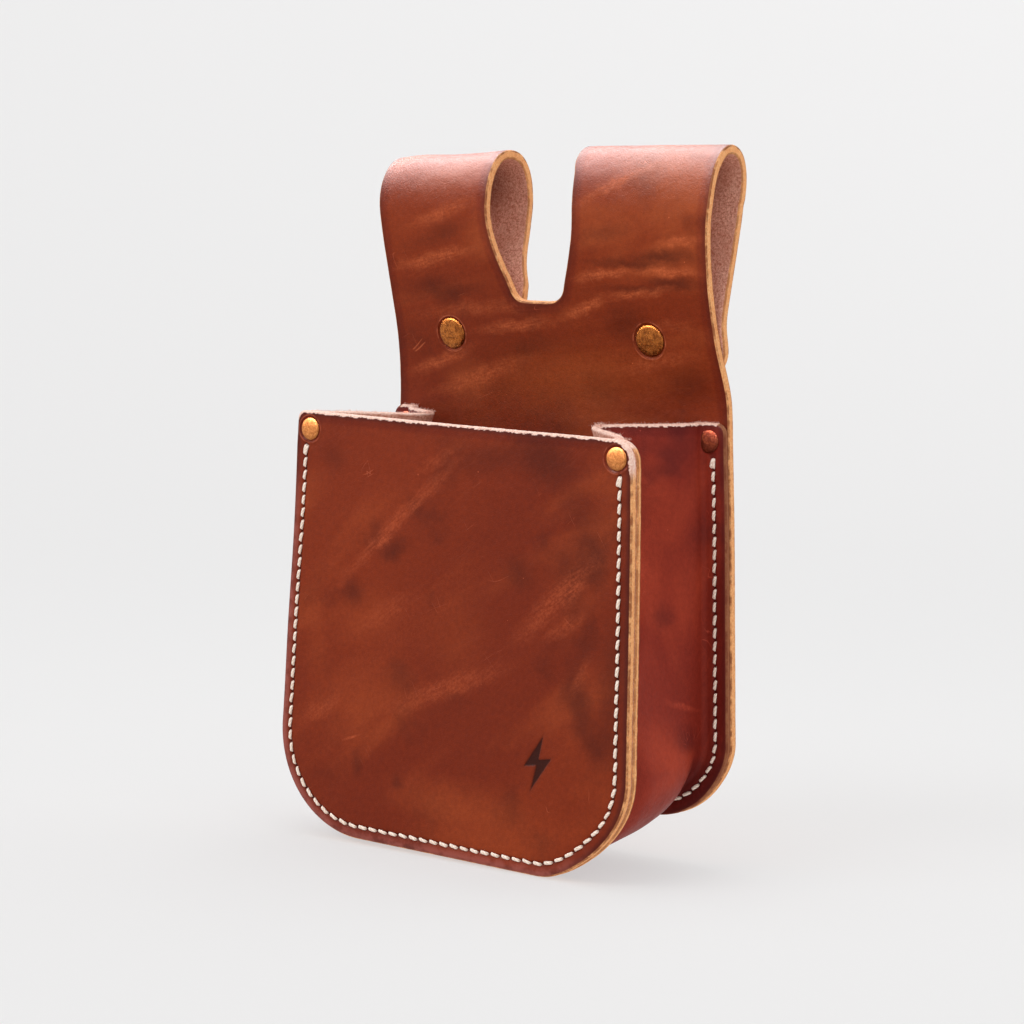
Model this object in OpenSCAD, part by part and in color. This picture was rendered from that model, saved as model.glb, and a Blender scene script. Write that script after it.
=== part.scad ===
// Electrician's leather tool pouch, a belt pouch with two folded belt loops.
// X runs across the pouch, -Y is the front, +Z is up.
// The origin is the centre of the belt's path through both loops.

/* [Pocket] */
// front panel width across its top edge
front_top_w = 164; // [130:1:200]
// front panel width where the bottom corners start
front_low_w = 172; // [130:1:210]
// front panel height
front_h = 171; // [130:1:220]
// bottom corner radius of the front panel
front_r = 42; // [20:1:60]
// pocket depth, outside of front panel to outside of back panel
depth = 70; // [50:1:95]
// back panel width at the pocket's top edge
back_top_w = 165.6; // [130:0.2:200]
// back panel width where the bottom corners start
back_low_w = 181.2; // [130:0.2:210]
// height of the back panel below its own seam's top
back_h = 160; // [120:1:210]
// bottom corner radius of the back panel
back_r = 33; // [20:1:60]
// how much higher the back seam sits than the front seam
back_rise = 4.5; // [0:0.5:10]

// top right corner radius of the front panel
corner_right = 8.5; // [2:0.5:12]
// top left corner radius of the front panel
corner_left = 3; // [2:0.5:12]

/* [Leather] */
// front panel leather thickness
front_t = 4; // [2.5:0.1:5]
// gusset leather thickness
gusset_t = 3.2; // [2:0.1:4]
// back panel and belt loop leather thickness
back_t = 3.8; // [2.5:0.1:5]
// gap left between two layers for the cement
layer_gap = 0.1; // [0.05:0.05:0.3]

/* [Gusset] */
// distance from the panel edge to the middle of the gusset web
flange_w = 12; // [9:0.5:18]
// bend radius where the web turns into a flange
bend_r = 4; // [2.5:0.5:6]
// how far the web folds inward at the open top
fold_in = 28; // [0:1:34]
// distance below the top over which the fold fades out
fold_fade = 118; // [60:1:140]

/* [Belt loops] */
// height of the loop rivets above the pocket's top edge
loop_rivet_z = 36; // [28:1:50]
// X of the left loop rivet
loop_rivet_left_x = -51.3; // [-65:0.1:-35]
// X of the right loop rivet
loop_rivet_right_x = 47.9; // [35:0.1:65]
// overall width across both loops
loops_w = 164; // [130:1:180]
// narrowest width between the pocket and the loops
waist_w = 159.5; // [120:0.5:170]
// sideways shift of the loops from the pocket's centre line
loops_shift = -1.4; // [-6:0.1:6]
// width of the gap between the loops
notch_w = 42.4; // [24:0.1:60]
// width of the gap at its bottom
notch_low_w = 21; // [12:0.5:40]
// height of the gap's bottom above the pocket's top edge
notch_z = 50; // [44:1:60]
// sideways shift of the gap
notch_shift = -6; // [-10:0.5:10]

/* [Seams] */
// distance from the panel edge to the stitch line
stitch_inset = 5.3; // [4:0.1:8]
// stitch pitch, five stitches to the inch
stitch_pitch = 5.08; // [3:0.01:8]
// thread thickness
thread_d = 1.2; // [0.6:0.1:1.6]
// depth of the groove the thread lies in
groove_d = 0.5; // [0:0.1:1]

/* [Mark] */
// height of the pressed lightning bolt mark
mark_h = 24; // [10:1:40]
// X of the middle of the mark
mark_x = 44.5; // [20:0.5:60]
// Z of the middle of the mark, from the front panel's top
mark_z = -127; // [-140:1:-60]
// depth of the mark
mark_d = 0.4; // [0.1:0.1:1]

/* [Rivets] */
// corner rivet cap diameter
corner_cap_d = 9; // [7:0.5:12]
// loop rivet cap diameter
loop_cap_d = 13; // [9:0.5:16]
// rivet shank diameter
shank_d = 3.2; // [2.5:0.1:4]
// corner rivets, distance below the top edge
corner_rivet_drop = 7.3; // [6:0.1:12]
// corner rivets, distance in from the side edge
corner_rivet_in = 6.6; // [5:0.1:10]

/* [Hidden] */
org_y = 61;
org_z = 84;
sh = 0.05;                            // clearance round each shank
g = layer_gap;
yf0 = 0; yf1 = front_t;               // front panel
ym0 = yf1 + g; ym1 = ym0 + gusset_t;  // front flange of the gusset
yb1 = depth; yb0 = depth - back_t;    // back panel below the loops
yn1 = yb0 - g; yn0 = yn1 - gusset_t;  // back flange of the gusset
zb_top = back_rise;
dimple = 0.6;                         // how deep a cap sits in the leather

leather = [0.47, 0.20, 0.11];
leather_dark = [0.43, 0.18, 0.12];
thread = [0.93, 0.88, 0.80];
brass = [0.66, 0.44, 0.20];

function rev(v) = [for (i = [len(v) - 1 : -1 : 0]) v[i]];
function mirx(v) = [for (p = v) [-p[0], p[1]]];

// right half of a pocket outline, from the top edge down to the middle of the bottom.
// wt and wl are half widths, h the height, r the corner radius, m an inset, n points on the corner
function half_outline(wt, wl, h, r, m, n = 16) =
    let (zc = -(h - r), xc = wl - r, rr = r - m)
    concat([for (i = [0 : 11]) let (s = i / 11) [(wt - m) + (wl - wt) * s, zc * s]],
           [for (i = [1 : n]) let (a = 90 * i / n) [xc + rr * cos(a), zc - rr * sin(a)]]);
function outline(wt, wl, h, r, m, n = 16) =
    concat(half_outline(wt, wl, h, r, m, n), rev(mirx(half_outline(wt, wl, h, r, m, n))));
// the same half with its top corner rounded by radius c
function topped_half(wt, wl, h, r, c) =
    let (o = half_outline(wt, wl, h, r, 0),
         t = [for (i = [0 : 6]) let (a = 90 - 90 * i / 6) [wt - c + c * cos(a), -c + c * sin(a)]],
         low = [for (i = [1 : len(o) - 1]) o[i]])
    concat(t, low);
// right corner radius cr, left corner radius cl
function topped(wt, wl, h, r, cr, cl) = concat(topped_half(wt, wl, h, r, cr), rev(mirx(topped_half(wt, wl, h, r, cl))));

module plate_y(y0, y1) translate([0, y1, 0]) rotate([90, 0, 0]) linear_extrude(height = y1 - y0) children();
module hole_y(x, z, d, y0, y1) translate([x, y0, z]) rotate([-90, 0, 0]) cylinder(h = y1 - y0, d = d, $fn = 40);

// ---- stitch line -------------------------------------------------------
function seg_len(a, b) = norm(b - a);
function cum(v, i = 0, acc = 0) = i >= len(v) - 1 ? [acc] : concat([acc], cum(v, i + 1, acc + seg_len(v[i], v[i + 1])));
function find_seg(c, s, i = 0) = (i >= len(c) - 2 || s < c[i + 1]) ? i : find_seg(c, s, i + 1);
function at_len(v, c, s) = let (i = find_seg(c, s), f = (s - c[i]) / (c[i + 1] - c[i])) v[i] + (v[i + 1] - v[i]) * f;

// stitch line of a seam: the outline inset by m, cut off below z0
function seam_line(wt, wl, h, r, z0, m) =
    let (o = outline(wt, wl, h, r, m, 20), wz = (wt - m) + (wl - wt) * (-z0 / (h - r)),
         mid = [for (p = o) if (p[1] < z0 - 0.5) p])
    concat([[wz, z0]], mid, [[-wz, z0]]);

module stitch_row(line, y, side) {
    c = cum(line);
    total = c[len(c) - 1];
    n = floor(total / stitch_pitch);
    p = total / n;
    h = thread_d / 2;
    k = h * 0.42;
    for (i = [0 : n - 1]) {
        a = at_len(line, c, i * p + 0.35);
        b = at_len(line, c, (i + 1) * p - 0.35);
        t = (b - a) / norm(b - a);
        translate([a[0], y, a[1]])
            rotate([0, -atan2(t[1], t[0]), 0])
                rotate([90, 0, 90])
                    linear_extrude(height = norm(b - a))
                        polygon([[-h, -k], [-k, -h], [k, -h], [h, -k], [h, k], [k, h], [-k, h], [-h, k]]);
    }
}
// groove under a stitch row, a band of the outline between two insets
module groove_2d(wt, wl, h, r, z0, w) {
    difference() {
        polygon(seam_line(wt, wl, h, r, z0, stitch_inset - w / 2));
        polygon([for (p = seam_line(wt, wl, h, r, z0, stitch_inset + w / 2)) [p[0], p[1] + (p[1] > z0 - 0.1 ? 5 : 0)]]);
    }
}
seam_z0 = -(corner_rivet_drop + corner_cap_d / 2 + 1.5);
groove_w = thread_d + 0.5;

// pressed mark, a plain lightning bolt
module mark_2d() translate([mark_x, mark_z]) scale([mark_h / 24, mark_h / 24])
    polygon([[2.6, 12], [-7, -2.2], [-0.9, -1.2], [-3.4, -12], [7, 2.9], [0.7, 1.7]]);

// ---- front panel -------------------------------------------------------
fx = front_top_w / 2 - corner_rivet_in;
fz = -corner_rivet_drop;
module front_panel() color(leather) difference() {
    plate_y(yf0, yf1) polygon(topped(front_top_w / 2, front_low_w / 2, front_h, front_r, corner_right, corner_left));
    plate_y(yf0 - 1, yf0 + groove_d) groove_2d(front_top_w / 2, front_low_w / 2, front_h, front_r, seam_z0, groove_w);
    plate_y(yf0 - 1, yf0 + mark_d) mark_2d();
    for (s = [-1, 1]) {
        hole_y(s * fx, fz, shank_d + 2 * sh, yf0 - 1, yf1 + 1);
        hole_y(s * fx, fz, corner_cap_d + 0.6, yf0 - 1, yf0 + dimple);
    }
}

// ---- gusset ------------------------------------------------------------
bx = back_top_w / 2 - corner_rivet_in;
bz = zb_top - corner_rivet_drop;
// the middle line of the strip's section, as [inset, y]; b is the fold depth at this station
nb = 4;      // segments in each bend
nw = 12;     // segments in the web
function bump(t) = let (u = 1 - abs(2 * t - 1)) u < 0.001 ? 0 : (1 - pow(1 - u, 1.25)) * 0.25 + 0.75 * u * u * (3 - 2 * u);
y_mf = (ym0 + ym1) / 2;
y_mb = (yn0 + yn1) / 2;
function sec_mid(b) = concat(
    [[0, y_mf], [(flange_w - bend_r) * 0.5, y_mf]],
    [for (i = [0 : nb]) let (a = -90 + 90 * i / nb) [flange_w - bend_r + bend_r * cos(a), y_mf + bend_r + bend_r * sin(a)]],
    [for (i = [1 : nw - 1]) let (t = i / nw, y = y_mf + bend_r + (y_mb - y_mf - 2 * bend_r) * t) [flange_w + b * bump(t), y]],
    [for (i = [0 : nb]) let (a = 90 * i / nb) [flange_w - bend_r + bend_r * cos(a), y_mb - bend_r + bend_r * sin(a)]],
    [[(flange_w - bend_r) * 0.5, y_mb], [0, y_mb]]);
function nrm(v) = let (l = norm(v)) [v[0] / l, v[1] / l];
function perp(v) = [v[1], -v[0]];
function side_line(m, o) = [for (i = [0 : len(m) - 1])
    let (t0 = i == 0 ? nrm(m[1] - m[0]) : nrm(m[i] - m[i - 1]),
         t1 = i == len(m) - 1 ? t0 : nrm(m[i + 1] - m[i]),
         t = nrm(t0 + t1), c = t[0] * t1[0] + t[1] * t1[1])
    m[i] + perp(t) * (o / c)];
// station k of the U: point and inward direction on the front and the back outline
function stations(wt, wl, h, r, z0) =
    let (na = 9, ns = 12, zc = -(h - r), xc = wl - r, k = atan2(wl - wt, h - r))
    concat(
        [for (i = [0 : ns]) let (s = i / ns) [[wt + (wl - wt) * s, zc * s + z0], [-cos(k), sin(-k) * 0], 0]],
        [for (i = [1 : na]) let (a = 90 * i / na) [[xc + r * cos(a), zc - r * sin(a) + z0], [-cos(a), sin(a)], 0]]);
function mir_st(s) = [for (i = [len(s) - 1 : -1 : 0]) [[-s[i][0][0], s[i][0][1]], [-s[i][1][0], s[i][1][1]], 0]];
function full_st(s) = concat(s, mir_st(s));
st_f = full_st(stations(front_top_w / 2, front_low_w / 2, front_h, front_r, 0));
st_b = full_st(stations(back_top_w / 2, back_low_w / 2, back_h, back_r, zb_top));
function fold_at(z) = let (u = max(0, 1 + z / fold_fade)) fold_in * pow(u, 1.5);
function place(f, b, q) =
    let (t = min(1, max(0, (q[1] - y_mf) / (y_mb - y_mf))),
         pf = f[0] + f[1] * q[0], pb = b[0] + b[1] * q[0], p = pf * (1 - t) + pb * t)
    [p[0], q[1], p[1]];
sec_n = len(sec_mid(0));
function ring(k) =
    let (zz = st_f[k][0][1], m = sec_mid(fold_at(zz)),
         a = side_line(m, gusset_t / 2), b = rev(side_line(m, -gusset_t / 2)))
    [for (q = concat(a, b)) place(st_f[k], st_b[k], q)];
nst = len(st_f);
rn = 2 * sec_n;
gus_pts = [for (k = [0 : nst - 1]) each ring(k)];
function quad(a, b, c, d) = [[a, b, c], [a, c, d]];
gus_faces = concat(
    [for (k = [0 : nst - 2]) for (j = [0 : rn - 1]) each
        let (j2 = (j + 1) % rn) quad(k * rn + j, k * rn + j2, (k + 1) * rn + j2, (k + 1) * rn + j)],
    [for (j = [0 : sec_n - 2]) each quad(rn - 1 - j, rn - 2 - j, j + 1, j)],
    [for (j = [0 : sec_n - 2]) each
        let (o = (nst - 1) * rn) quad(o + j, o + j + 1, o + rn - 2 - j, o + rn - 1 - j)]);
// what lies outside a rounded top corner, for one side
module corner_cut(s, w, z, c) translate([s * w, z]) difference() {
    translate([s > 0 ? -c : -6, -c]) square([c + 6, c + 6]);
    translate([-s * c, -c]) circle(r = c, $fn = 64);
    translate([-s * c - 30, -c - 40]) square([60, 40]);
    translate([s > 0 ? -c - 60 : c, -c - 1]) square([60, 60]);
}
module gusset() color(leather_dark) difference() {
    polyhedron(points = gus_pts, faces = gus_faces, convexity = 8);
    for (s = [-1, 1]) {
        plate_y(ym0 - 1, ym1 + 0.7) corner_cut(s, front_top_w / 2 + 0.05, 0, s > 0 ? corner_right : corner_left);
        plate_y(yn0 - 0.7, yn1 + 1) corner_cut(s, back_top_w / 2 + 0.05, zb_top, 4);
    }
    for (s = [-1, 1]) {
        hole_y(s * fx, fz, shank_d + 2 * sh, ym0 - 1, ym1 + 3);
        hole_y(s * bx, bz, shank_d + 2 * sh, yn0 - 3, yn1 + 1);
    }
}

// ---- back panel and belt loops -----------------------------------------
lean = 0.27;                                     // slope of the part below the loops
ln = [1, lean] / norm([1, lean]);                // normal of that part, towards the back
lc = [61.9 + (depth - 70), loop_rivet_z];        // middle of the leather at the rivets
tail_gap = back_t + 0.15;
ts = lc + ln * tail_gap;                         // middle of the tail at the rivets
function on_front(z) = [lc[0] - lean * (z - lc[1]), z];
function on_tail(z) = [ts[0] - lean * (z - ts[1]), z];
ymid = (yb0 + yb1) / 2;
ctl = [[ymid, -back_h - 20], [ymid, -60], [ymid, zb_top], [ymid - 0.62, zb_top + 8.5], on_front(22), on_front(29), on_front(36), on_front(48),
       [55.2, 60], [51.6, 75], [50.0, 89]];
over_r = [[52.2, 101.2], [57.8, 109.2], [64.3, 111.4]];         // right loop, up to its top
over_l = [[51.9, 99.6], [57.2, 107.1], [64.6, 109.6]];          // left loop, a little lower and fuller
down_r = [[70.4, 108.8], [73.4, 101], [72.6, 88], [70.0, 74], [67.4, 61], [65.6, 52]];
down_l = [[72.6, 107.9], [78.2, 100.8], [79.9, 90], [77.9, 80.5], [73.4, 71.5], [69.0, 63], [66.3, 54.5]];
tail_end = [[64.55, 46], on_tail(40.8), on_tail(37), on_tail(30), on_tail(24), on_tail(17)];
function cr(a, b, c, d, t) = 0.5 * (2 * b + (c - a) * t + (2 * a - 5 * b + 4 * c - d) * t * t + (3 * b - a - 3 * c + d) * t * t * t);
// smooth curve through v, from point i0, leaving off the last 'cut' - 1 spans
function spline(v, i0, n, cut = 1) = [for (i = [i0 : len(v) - 1 - cut]) let (a = v[max(0, i - 1)], b = v[i], c = v[i + 1], d = v[min(len(v) - 1, i + 2)])
    each [for (j = [0 : n - 1]) cr(a, b, c, d, j / n)]];
// the front layer ends and the tail starts at the top of the loop
function front_mid(over, down) = concat([ctl[0], ctl[1]],
    spline(concat([for (i = [2 : len(ctl) - 1]) ctl[i]], over, [down[0]]), 0, 4, 2), [over[2]]);
function tail_mid(over, down) = concat(spline(concat([over[1], over[2]], down, tail_end), 1, 4), [on_tail(17)]);
module strip_yz(m, t) {
    a = side_line(m, t / 2);
    b = side_line(m, -t / 2);
    polygon(concat(a, rev(b)));
}
module plate_x(x0, x1) translate([x0, 0, 0]) rotate([90, 0, 90]) linear_extrude(height = x1 - x0) children();

lw = loops_w / 2;
ww = waist_w / 2;
// right side of the panel above the pocket; sgn mirrors it
function upper_side(sgn) = [for (q = [[back_top_w / 2, zb_top], [back_top_w / 2 - 0.6, 16], [ww + 0.4, 34], [ww, 50], [ww + 0.3, 64], [lw - 1.2, 78], [lw, 92], [lw + 0.2, 105], [lw, 125]])
    [sgn * q[0] + loops_shift * min(1, max(0, (q[1] - 10) / 40)), q[1]]];
function notch_left() = [for (q = [[notch_w / 2, 130], [notch_w / 2, 104], [notch_w / 2, 92], [notch_w / 2 - 0.4, 82], [notch_w / 2 - 3.4, 70], [notch_low_w / 2 + 2.2, 58],
                                   [notch_low_w / 2 + 0.3, 53], [notch_low_w / 2 - 2, notch_z + 0.7], [notch_low_w / 2 - 5, notch_z]])
    [-q[0] + notch_shift, q[1]]];
function notch_right() = [for (q = [[notch_w / 2 - 1.8, 130], [notch_w / 2 - 1.8, 108], [notch_w / 2 + 0.1, 100], [notch_w / 2 + 0.7, 88], [notch_w / 2 + 0.3, 79], [notch_w / 2 - 1.7, 70],
                                    [notch_low_w / 2 + 5.4, 59], [notch_low_w / 2 + 3.2, 53.4], [notch_low_w / 2 - 0.6, notch_z + 0.6], [notch_low_w / 2 - 4.6, notch_z]])
    [q[0] + notch_shift, q[1]]];
module panel_2d() {
    low = half_outline(back_top_w / 2, back_low_w / 2, back_h, back_r, 0, 16);
    lowz = [for (i = [1 : len(low) - 1]) [low[i][0], low[i][1] + zb_top]];
    us = spline(upper_side(1), 0, 3);
    ul = spline(upper_side(-1), 0, 3);
    nr = spline(notch_right(), 0, 3);
    nl = spline(notch_left(), 0, 3);
    polygon(concat(rev(lowz), us, [[lw + loops_shift, 125]], nr, [notch_right()[9]], [notch_left()[8]], rev(nl), [[-lw + loops_shift, 125]], rev(ul), mirx(lowz)));
}
// a tail: the loop strap's outline, ending in a rounded tip below the rivet
tail_z = 21;
tail_r = 13;
module tail_2d(x0, x1) {
    polygon(concat(
        [[x0, 125], [x0, tail_z + tail_r]],
        [for (i = [1 : 8]) let (a = 180 + 90 * i / 8) [x0 + tail_r + tail_r * cos(a), tail_z + tail_r + tail_r * sin(a)]],
        [for (i = [0 : 8]) let (a = 270 + 90 * i / 8) [x1 - tail_r + tail_r * cos(a), tail_z + tail_r + tail_r * sin(a)]],
        [[x1, 125]]));
}
// the left or the right tail; its outer edge runs straight down from the loop
module one_tail_2d(sgn) intersection() {
    if (sgn > 0) union() {
        tail_2d(notch_low_w / 2 + notch_shift + 2.5, lw + loops_shift - 0.4);
        polygon([[0, 126], [lw + 9, 126], [lw + 9, 78], [0, 78]]);
    } else union() {
        tail_2d(-lw + loops_shift + 0.4, -notch_low_w / 2 + notch_shift - 0.5);
        polygon([[-lw - 9, 126], [-12, 126], [-12, 78], [-lw - 9, 78]]);
    }
    tail_sides_2d(sgn);
}
// the strap edges carried down past the gap's bottom
module tail_sides_2d(sgn) {
    us = [for (p = spline(upper_side(sgn), 0, 3)) if (p[1] > 91) p];
    nn = [for (p = spline(sgn > 0 ? notch_right() : notch_left(), 0, 3)) if (p[1] > 57) p];
    x0 = sgn * (lw + (sgn > 0 ? loops_shift : -loops_shift));
    inner = sgn > 0 ? [[notch_low_w / 2 + notch_shift + 3.4, 52], [notch_low_w / 2 + notch_shift + 2.5, 12]]
                    : [[-notch_low_w / 2 + notch_shift - 1.2, 52], [-notch_low_w / 2 + notch_shift - 0.5, 12]];
    polygon(concat([[x0, 12]], us, [[x0, 125]], nn, inner));
}
// puts a child drawn along +Z onto the loop rivet axis; z = 0 is the middle of the front layer
module on_loop_rivet(x) translate([x, lc[0], lc[1]]) rotate([-90 + atan(lean), 0, 0]) children();

lr = [loop_rivet_left_x, loop_rivet_right_x];
module back_panel() color(leather) difference() {
    union() {
        intersection() {
            union() {
                plate_x(-110, notch_shift) strip_yz(front_mid(over_l, down_l), back_t);
                plate_x(notch_shift, 110) strip_yz(front_mid(over_r, down_r), back_t);
            }
            plate_y(30, 90) panel_2d();
        }
        intersection() {
            plate_x(-110, notch_shift) strip_yz(tail_mid(over_l, down_l), back_t);
            plate_y(30, 90) one_tail_2d(-1);
        }
        intersection() {
            plate_x(notch_shift, 110) strip_yz(tail_mid(over_r, down_r), back_t);
            plate_y(30, 90) one_tail_2d(1);
        }
    }
    for (x = lr) on_loop_rivet(x) {
        translate([0, 0, -5]) cylinder(h = 16, d = shank_d + 2 * sh, $fn = 40);
        translate([0, 0, -back_t / 2 - 5]) cylinder(h = 5 + dimple, d = loop_cap_d + 0.6, $fn = 48);
    }
    for (s = [-1, 1]) hole_y(s * bx, bz, shank_d + 2 * sh, yb0 - 1, yb1 + 1);
    translate([0, 0, zb_top]) plate_y(yb1 - groove_d, yb1 + 1) groove_2d(back_top_w / 2, back_low_w / 2, back_h, back_r, seam_z0, groove_w);
}

// ---- stitches ----------------------------------------------------------
fl_line = seam_line(front_top_w / 2, front_low_w / 2, front_h, front_r, seam_z0, stitch_inset);
bk_line = seam_line(back_top_w / 2, back_low_w / 2, back_h, back_r, seam_z0, stitch_inset);
module front_seam_face_stitches() color(thread) stitch_row(fl_line, yf0 + groove_d - thread_d / 2 - 0.02, -1);
module front_seam_inner_stitches() color(thread) stitch_row(fl_line, ym1 + thread_d / 2 + 0.02, 1);
module back_seam_inner_stitches() color(thread) translate([0, 0, zb_top]) stitch_row(bk_line, yn0 - thread_d / 2 - 0.02, -1);
module back_seam_rear_stitches() color(thread) translate([0, 0, zb_top]) stitch_row(bk_line, yb1 - groove_d + thread_d / 2 + 0.02, 1);

// ---- rivets ------------------------------------------------------------
// drawn along +Z: the cap's underside at z = 0, the shank runs up through the leather, len_t thick
module rivet(cap_d, len_t) {
    crown = 0.9; e = 0.5;
    rotate_extrude($fn = 48) polygon(concat(
        [[0, -e - crown]],
        [for (i = [1 : 6]) let (a = 90 * i / 6) [(cap_d / 2 - 0.35) * sin(a), -e - crown * cos(a)]],
        [[cap_d / 2, -e * 0.6], [cap_d / 2, 0], [shank_d / 2, 0], [shank_d / 2, len_t + 1.3], [shank_d / 2 + 0.5, len_t + 1.3],
         [shank_d / 2 + 0.35, len_t + 1.75], [shank_d / 4, len_t + 2.1], [0, len_t + 2.1]]));
}
// the washer the shank is set over, its underside at z = 0
module burr(d) {
    rotate_extrude($fn = 40) polygon([[shank_d / 2 + sh, 0.03], [d / 2, 0.03], [d / 2, 0.8], [d / 2 - 0.35, 1.25], [shank_d / 2 + sh, 1.25]]);
}
burr_d = 7.6;
loop_burr_d = 10.5;
module at_front(s) translate([s * fx, yf0 + dimple - 0.02, fz]) rotate([-90, 0, 0]) children();
module at_back(s) translate([s * bx, yn0 - 0.02, bz]) rotate([-90, 0, 0]) children();
front_stack = ym1 - (yf0 + dimple) + 0.02;
back_stack = yb1 - yn0 + 0.02;
loop_stack = back_t / 2 - dimple + tail_gap + back_t / 2;
module front_rivet_left() color(brass) at_front(-1) rivet(corner_cap_d, front_stack);
module front_rivet_right() color(brass) at_front(1) rivet(corner_cap_d, front_stack);
module front_burr_left() color(brass) at_front(-1) translate([0, 0, front_stack]) burr(burr_d);
module front_burr_right() color(brass) at_front(1) translate([0, 0, front_stack]) burr(burr_d);
module back_rivet_left() color(brass) at_back(-1) rivet(corner_cap_d, back_stack);
module back_rivet_right() color(brass) at_back(1) rivet(corner_cap_d, back_stack);
module back_burr_left() color(brass) at_back(-1) translate([0, 0, back_stack]) burr(burr_d);
module back_burr_right() color(brass) at_back(1) translate([0, 0, back_stack]) burr(burr_d);
module loop_rivet(x) on_loop_rivet(x) translate([0, 0, -back_t / 2 + dimple - 0.02]) rivet(loop_cap_d, loop_stack + 0.02);
module loop_burr(x) on_loop_rivet(x) translate([0, 0, -back_t / 2 + dimple + loop_stack]) burr(loop_burr_d);
module loop_rivet_left() color(brass) loop_rivet(lr[0]);
module loop_rivet_right() color(brass) loop_rivet(lr[1]);
module loop_burr_left() color(brass) loop_burr(lr[0]);
module loop_burr_right() color(brass) loop_burr(lr[1]);

module framed() translate([0, -org_y, -org_z]) children();

framed() back_panel();
framed() front_panel();
framed() gusset();
framed() front_seam_face_stitches();
framed() front_seam_inner_stitches();
framed() back_seam_inner_stitches();
framed() back_seam_rear_stitches();
framed() loop_rivet_left();
framed() loop_rivet_right();
framed() loop_burr_left();
framed() loop_burr_right();
framed() front_rivet_left();
framed() front_rivet_right();
framed() front_burr_left();
framed() front_burr_right();
framed() back_rivet_left();
framed() back_rivet_right();
framed() back_burr_left();
framed() back_burr_right();
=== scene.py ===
import bpy, math
import numpy as np
from mathutils import Vector, Matrix
from mathutils.geometry import delaunay_2d_cdt
from mathutils.kdtree import KDTree


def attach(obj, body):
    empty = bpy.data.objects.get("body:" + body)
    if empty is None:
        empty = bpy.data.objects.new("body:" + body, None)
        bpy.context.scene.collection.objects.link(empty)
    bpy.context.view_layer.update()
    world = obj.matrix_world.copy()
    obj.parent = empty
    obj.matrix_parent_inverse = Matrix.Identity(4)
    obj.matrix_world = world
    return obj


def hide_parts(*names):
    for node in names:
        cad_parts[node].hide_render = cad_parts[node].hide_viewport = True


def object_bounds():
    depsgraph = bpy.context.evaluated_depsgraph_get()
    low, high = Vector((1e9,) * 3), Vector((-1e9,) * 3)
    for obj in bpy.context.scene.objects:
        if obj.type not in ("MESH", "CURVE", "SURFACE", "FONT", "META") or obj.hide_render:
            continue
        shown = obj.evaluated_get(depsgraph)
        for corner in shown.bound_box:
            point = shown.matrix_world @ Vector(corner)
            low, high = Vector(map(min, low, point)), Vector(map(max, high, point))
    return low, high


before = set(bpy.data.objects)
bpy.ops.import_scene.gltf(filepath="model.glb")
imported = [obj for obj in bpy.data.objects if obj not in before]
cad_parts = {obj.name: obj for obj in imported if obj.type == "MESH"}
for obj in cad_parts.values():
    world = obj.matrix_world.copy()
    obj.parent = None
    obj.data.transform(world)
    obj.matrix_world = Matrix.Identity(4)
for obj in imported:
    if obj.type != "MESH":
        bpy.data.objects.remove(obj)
cad_lo, cad_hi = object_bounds()
scene = bpy.context.scene
rng = np.random.default_rng(20)

# ------------------------------------------------------------------ dimensions, mm, measured from the pocket's top front edge
ORG = np.array([0.0, 61.0, 84.0])
FT_W, FL_W, F_H, F_R, F_T = 82.0, 86.0, 171.0, 42.0, 4.0
BT_W, BL_W, B_H, B_R, B_T = 82.8, 90.6, 160.0, 33.0, 3.8
C_RIGHT, C_LEFT = 8.5, 3.0
RISE, DEPTH, G_T, GAP = 4.5, 70.0, 3.2, 0.1
FLANGE, BEND, FOLD, FADE = 12.0, 4.0, 28.0, 118.0
YM0 = F_T + GAP; YM1 = YM0 + G_T
YB1 = DEPTH; YB0 = DEPTH - B_T
YN1 = YB0 - GAP; YN0 = YN1 - G_T
INSET, PITCH = 5.3, 5.08
RIV_IN, RIV_DROP = 6.6, 7.3
SEAM_Z0 = -(RIV_DROP + 6.0)
LEAN = 0.27
LC = np.array([61.9, 36.0])
RIVET_X = (-51.3, 47.9)


# ------------------------------------------------------------------ small tools
def hash3(i, j, k, seed):
    n = (i * 374761393 + j * 668265263 + k * 2147483647 + seed * 974711) & 0xFFFFFFFF
    n = ((n ^ (n >> 13)) * 1274126177) & 0xFFFFFFFF
    n = n ^ (n >> 16)
    return (n & 0xFFFF) / 65535.0 * 2 - 1


def vnoise(p, size, seed=0):
    """Smooth noise from -1 to 1 at points p (n, 3) in mm, features about size mm across."""
    q = np.asarray(p, float) / size
    f = np.floor(q).astype(np.int64)
    t = q - f
    t = t * t * (3 - 2 * t)
    out = 0
    for a in (0, 1):
        for b in (0, 1):
            for c in (0, 1):
                w = (t[:, 0] if a else 1 - t[:, 0]) * (t[:, 1] if b else 1 - t[:, 1]) * (t[:, 2] if c else 1 - t[:, 2])
                out = out + w * hash3(f[:, 0] + a, f[:, 1] + b, f[:, 2] + c, seed)
    return out


def fbm(p, size, seed=0, octaves=3, gain=0.5):
    out, amp = 0, 1.0
    for o in range(octaves):
        out = out + amp * vnoise(p, size / 2 ** o, seed + 17 * o)
        amp *= gain
    return out


def smooth(a, b, x):
    t = np.clip((np.asarray(x, float) - a) / (b - a), 0, 1)
    return t * t * (3 - 2 * t)


def resample(poly, step, closed=True):
    p = np.asarray(poly, float)
    if closed:
        p = np.vstack([p, p[:1]])
    d = np.hypot(*np.diff(p, axis=0).T)
    keep = np.concatenate([[True], d > 1e-6])
    p = p[keep]
    s = np.concatenate([[0], np.cumsum(np.hypot(*np.diff(p, axis=0).T))])
    n = max(3, int(round(s[-1] / step)))
    t = np.linspace(0, s[-1], n + 1)
    out = np.stack([np.interp(t, s, p[:, 0]), np.interp(t, s, p[:, 1])], 1)
    return out[:-1] if closed else out


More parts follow.
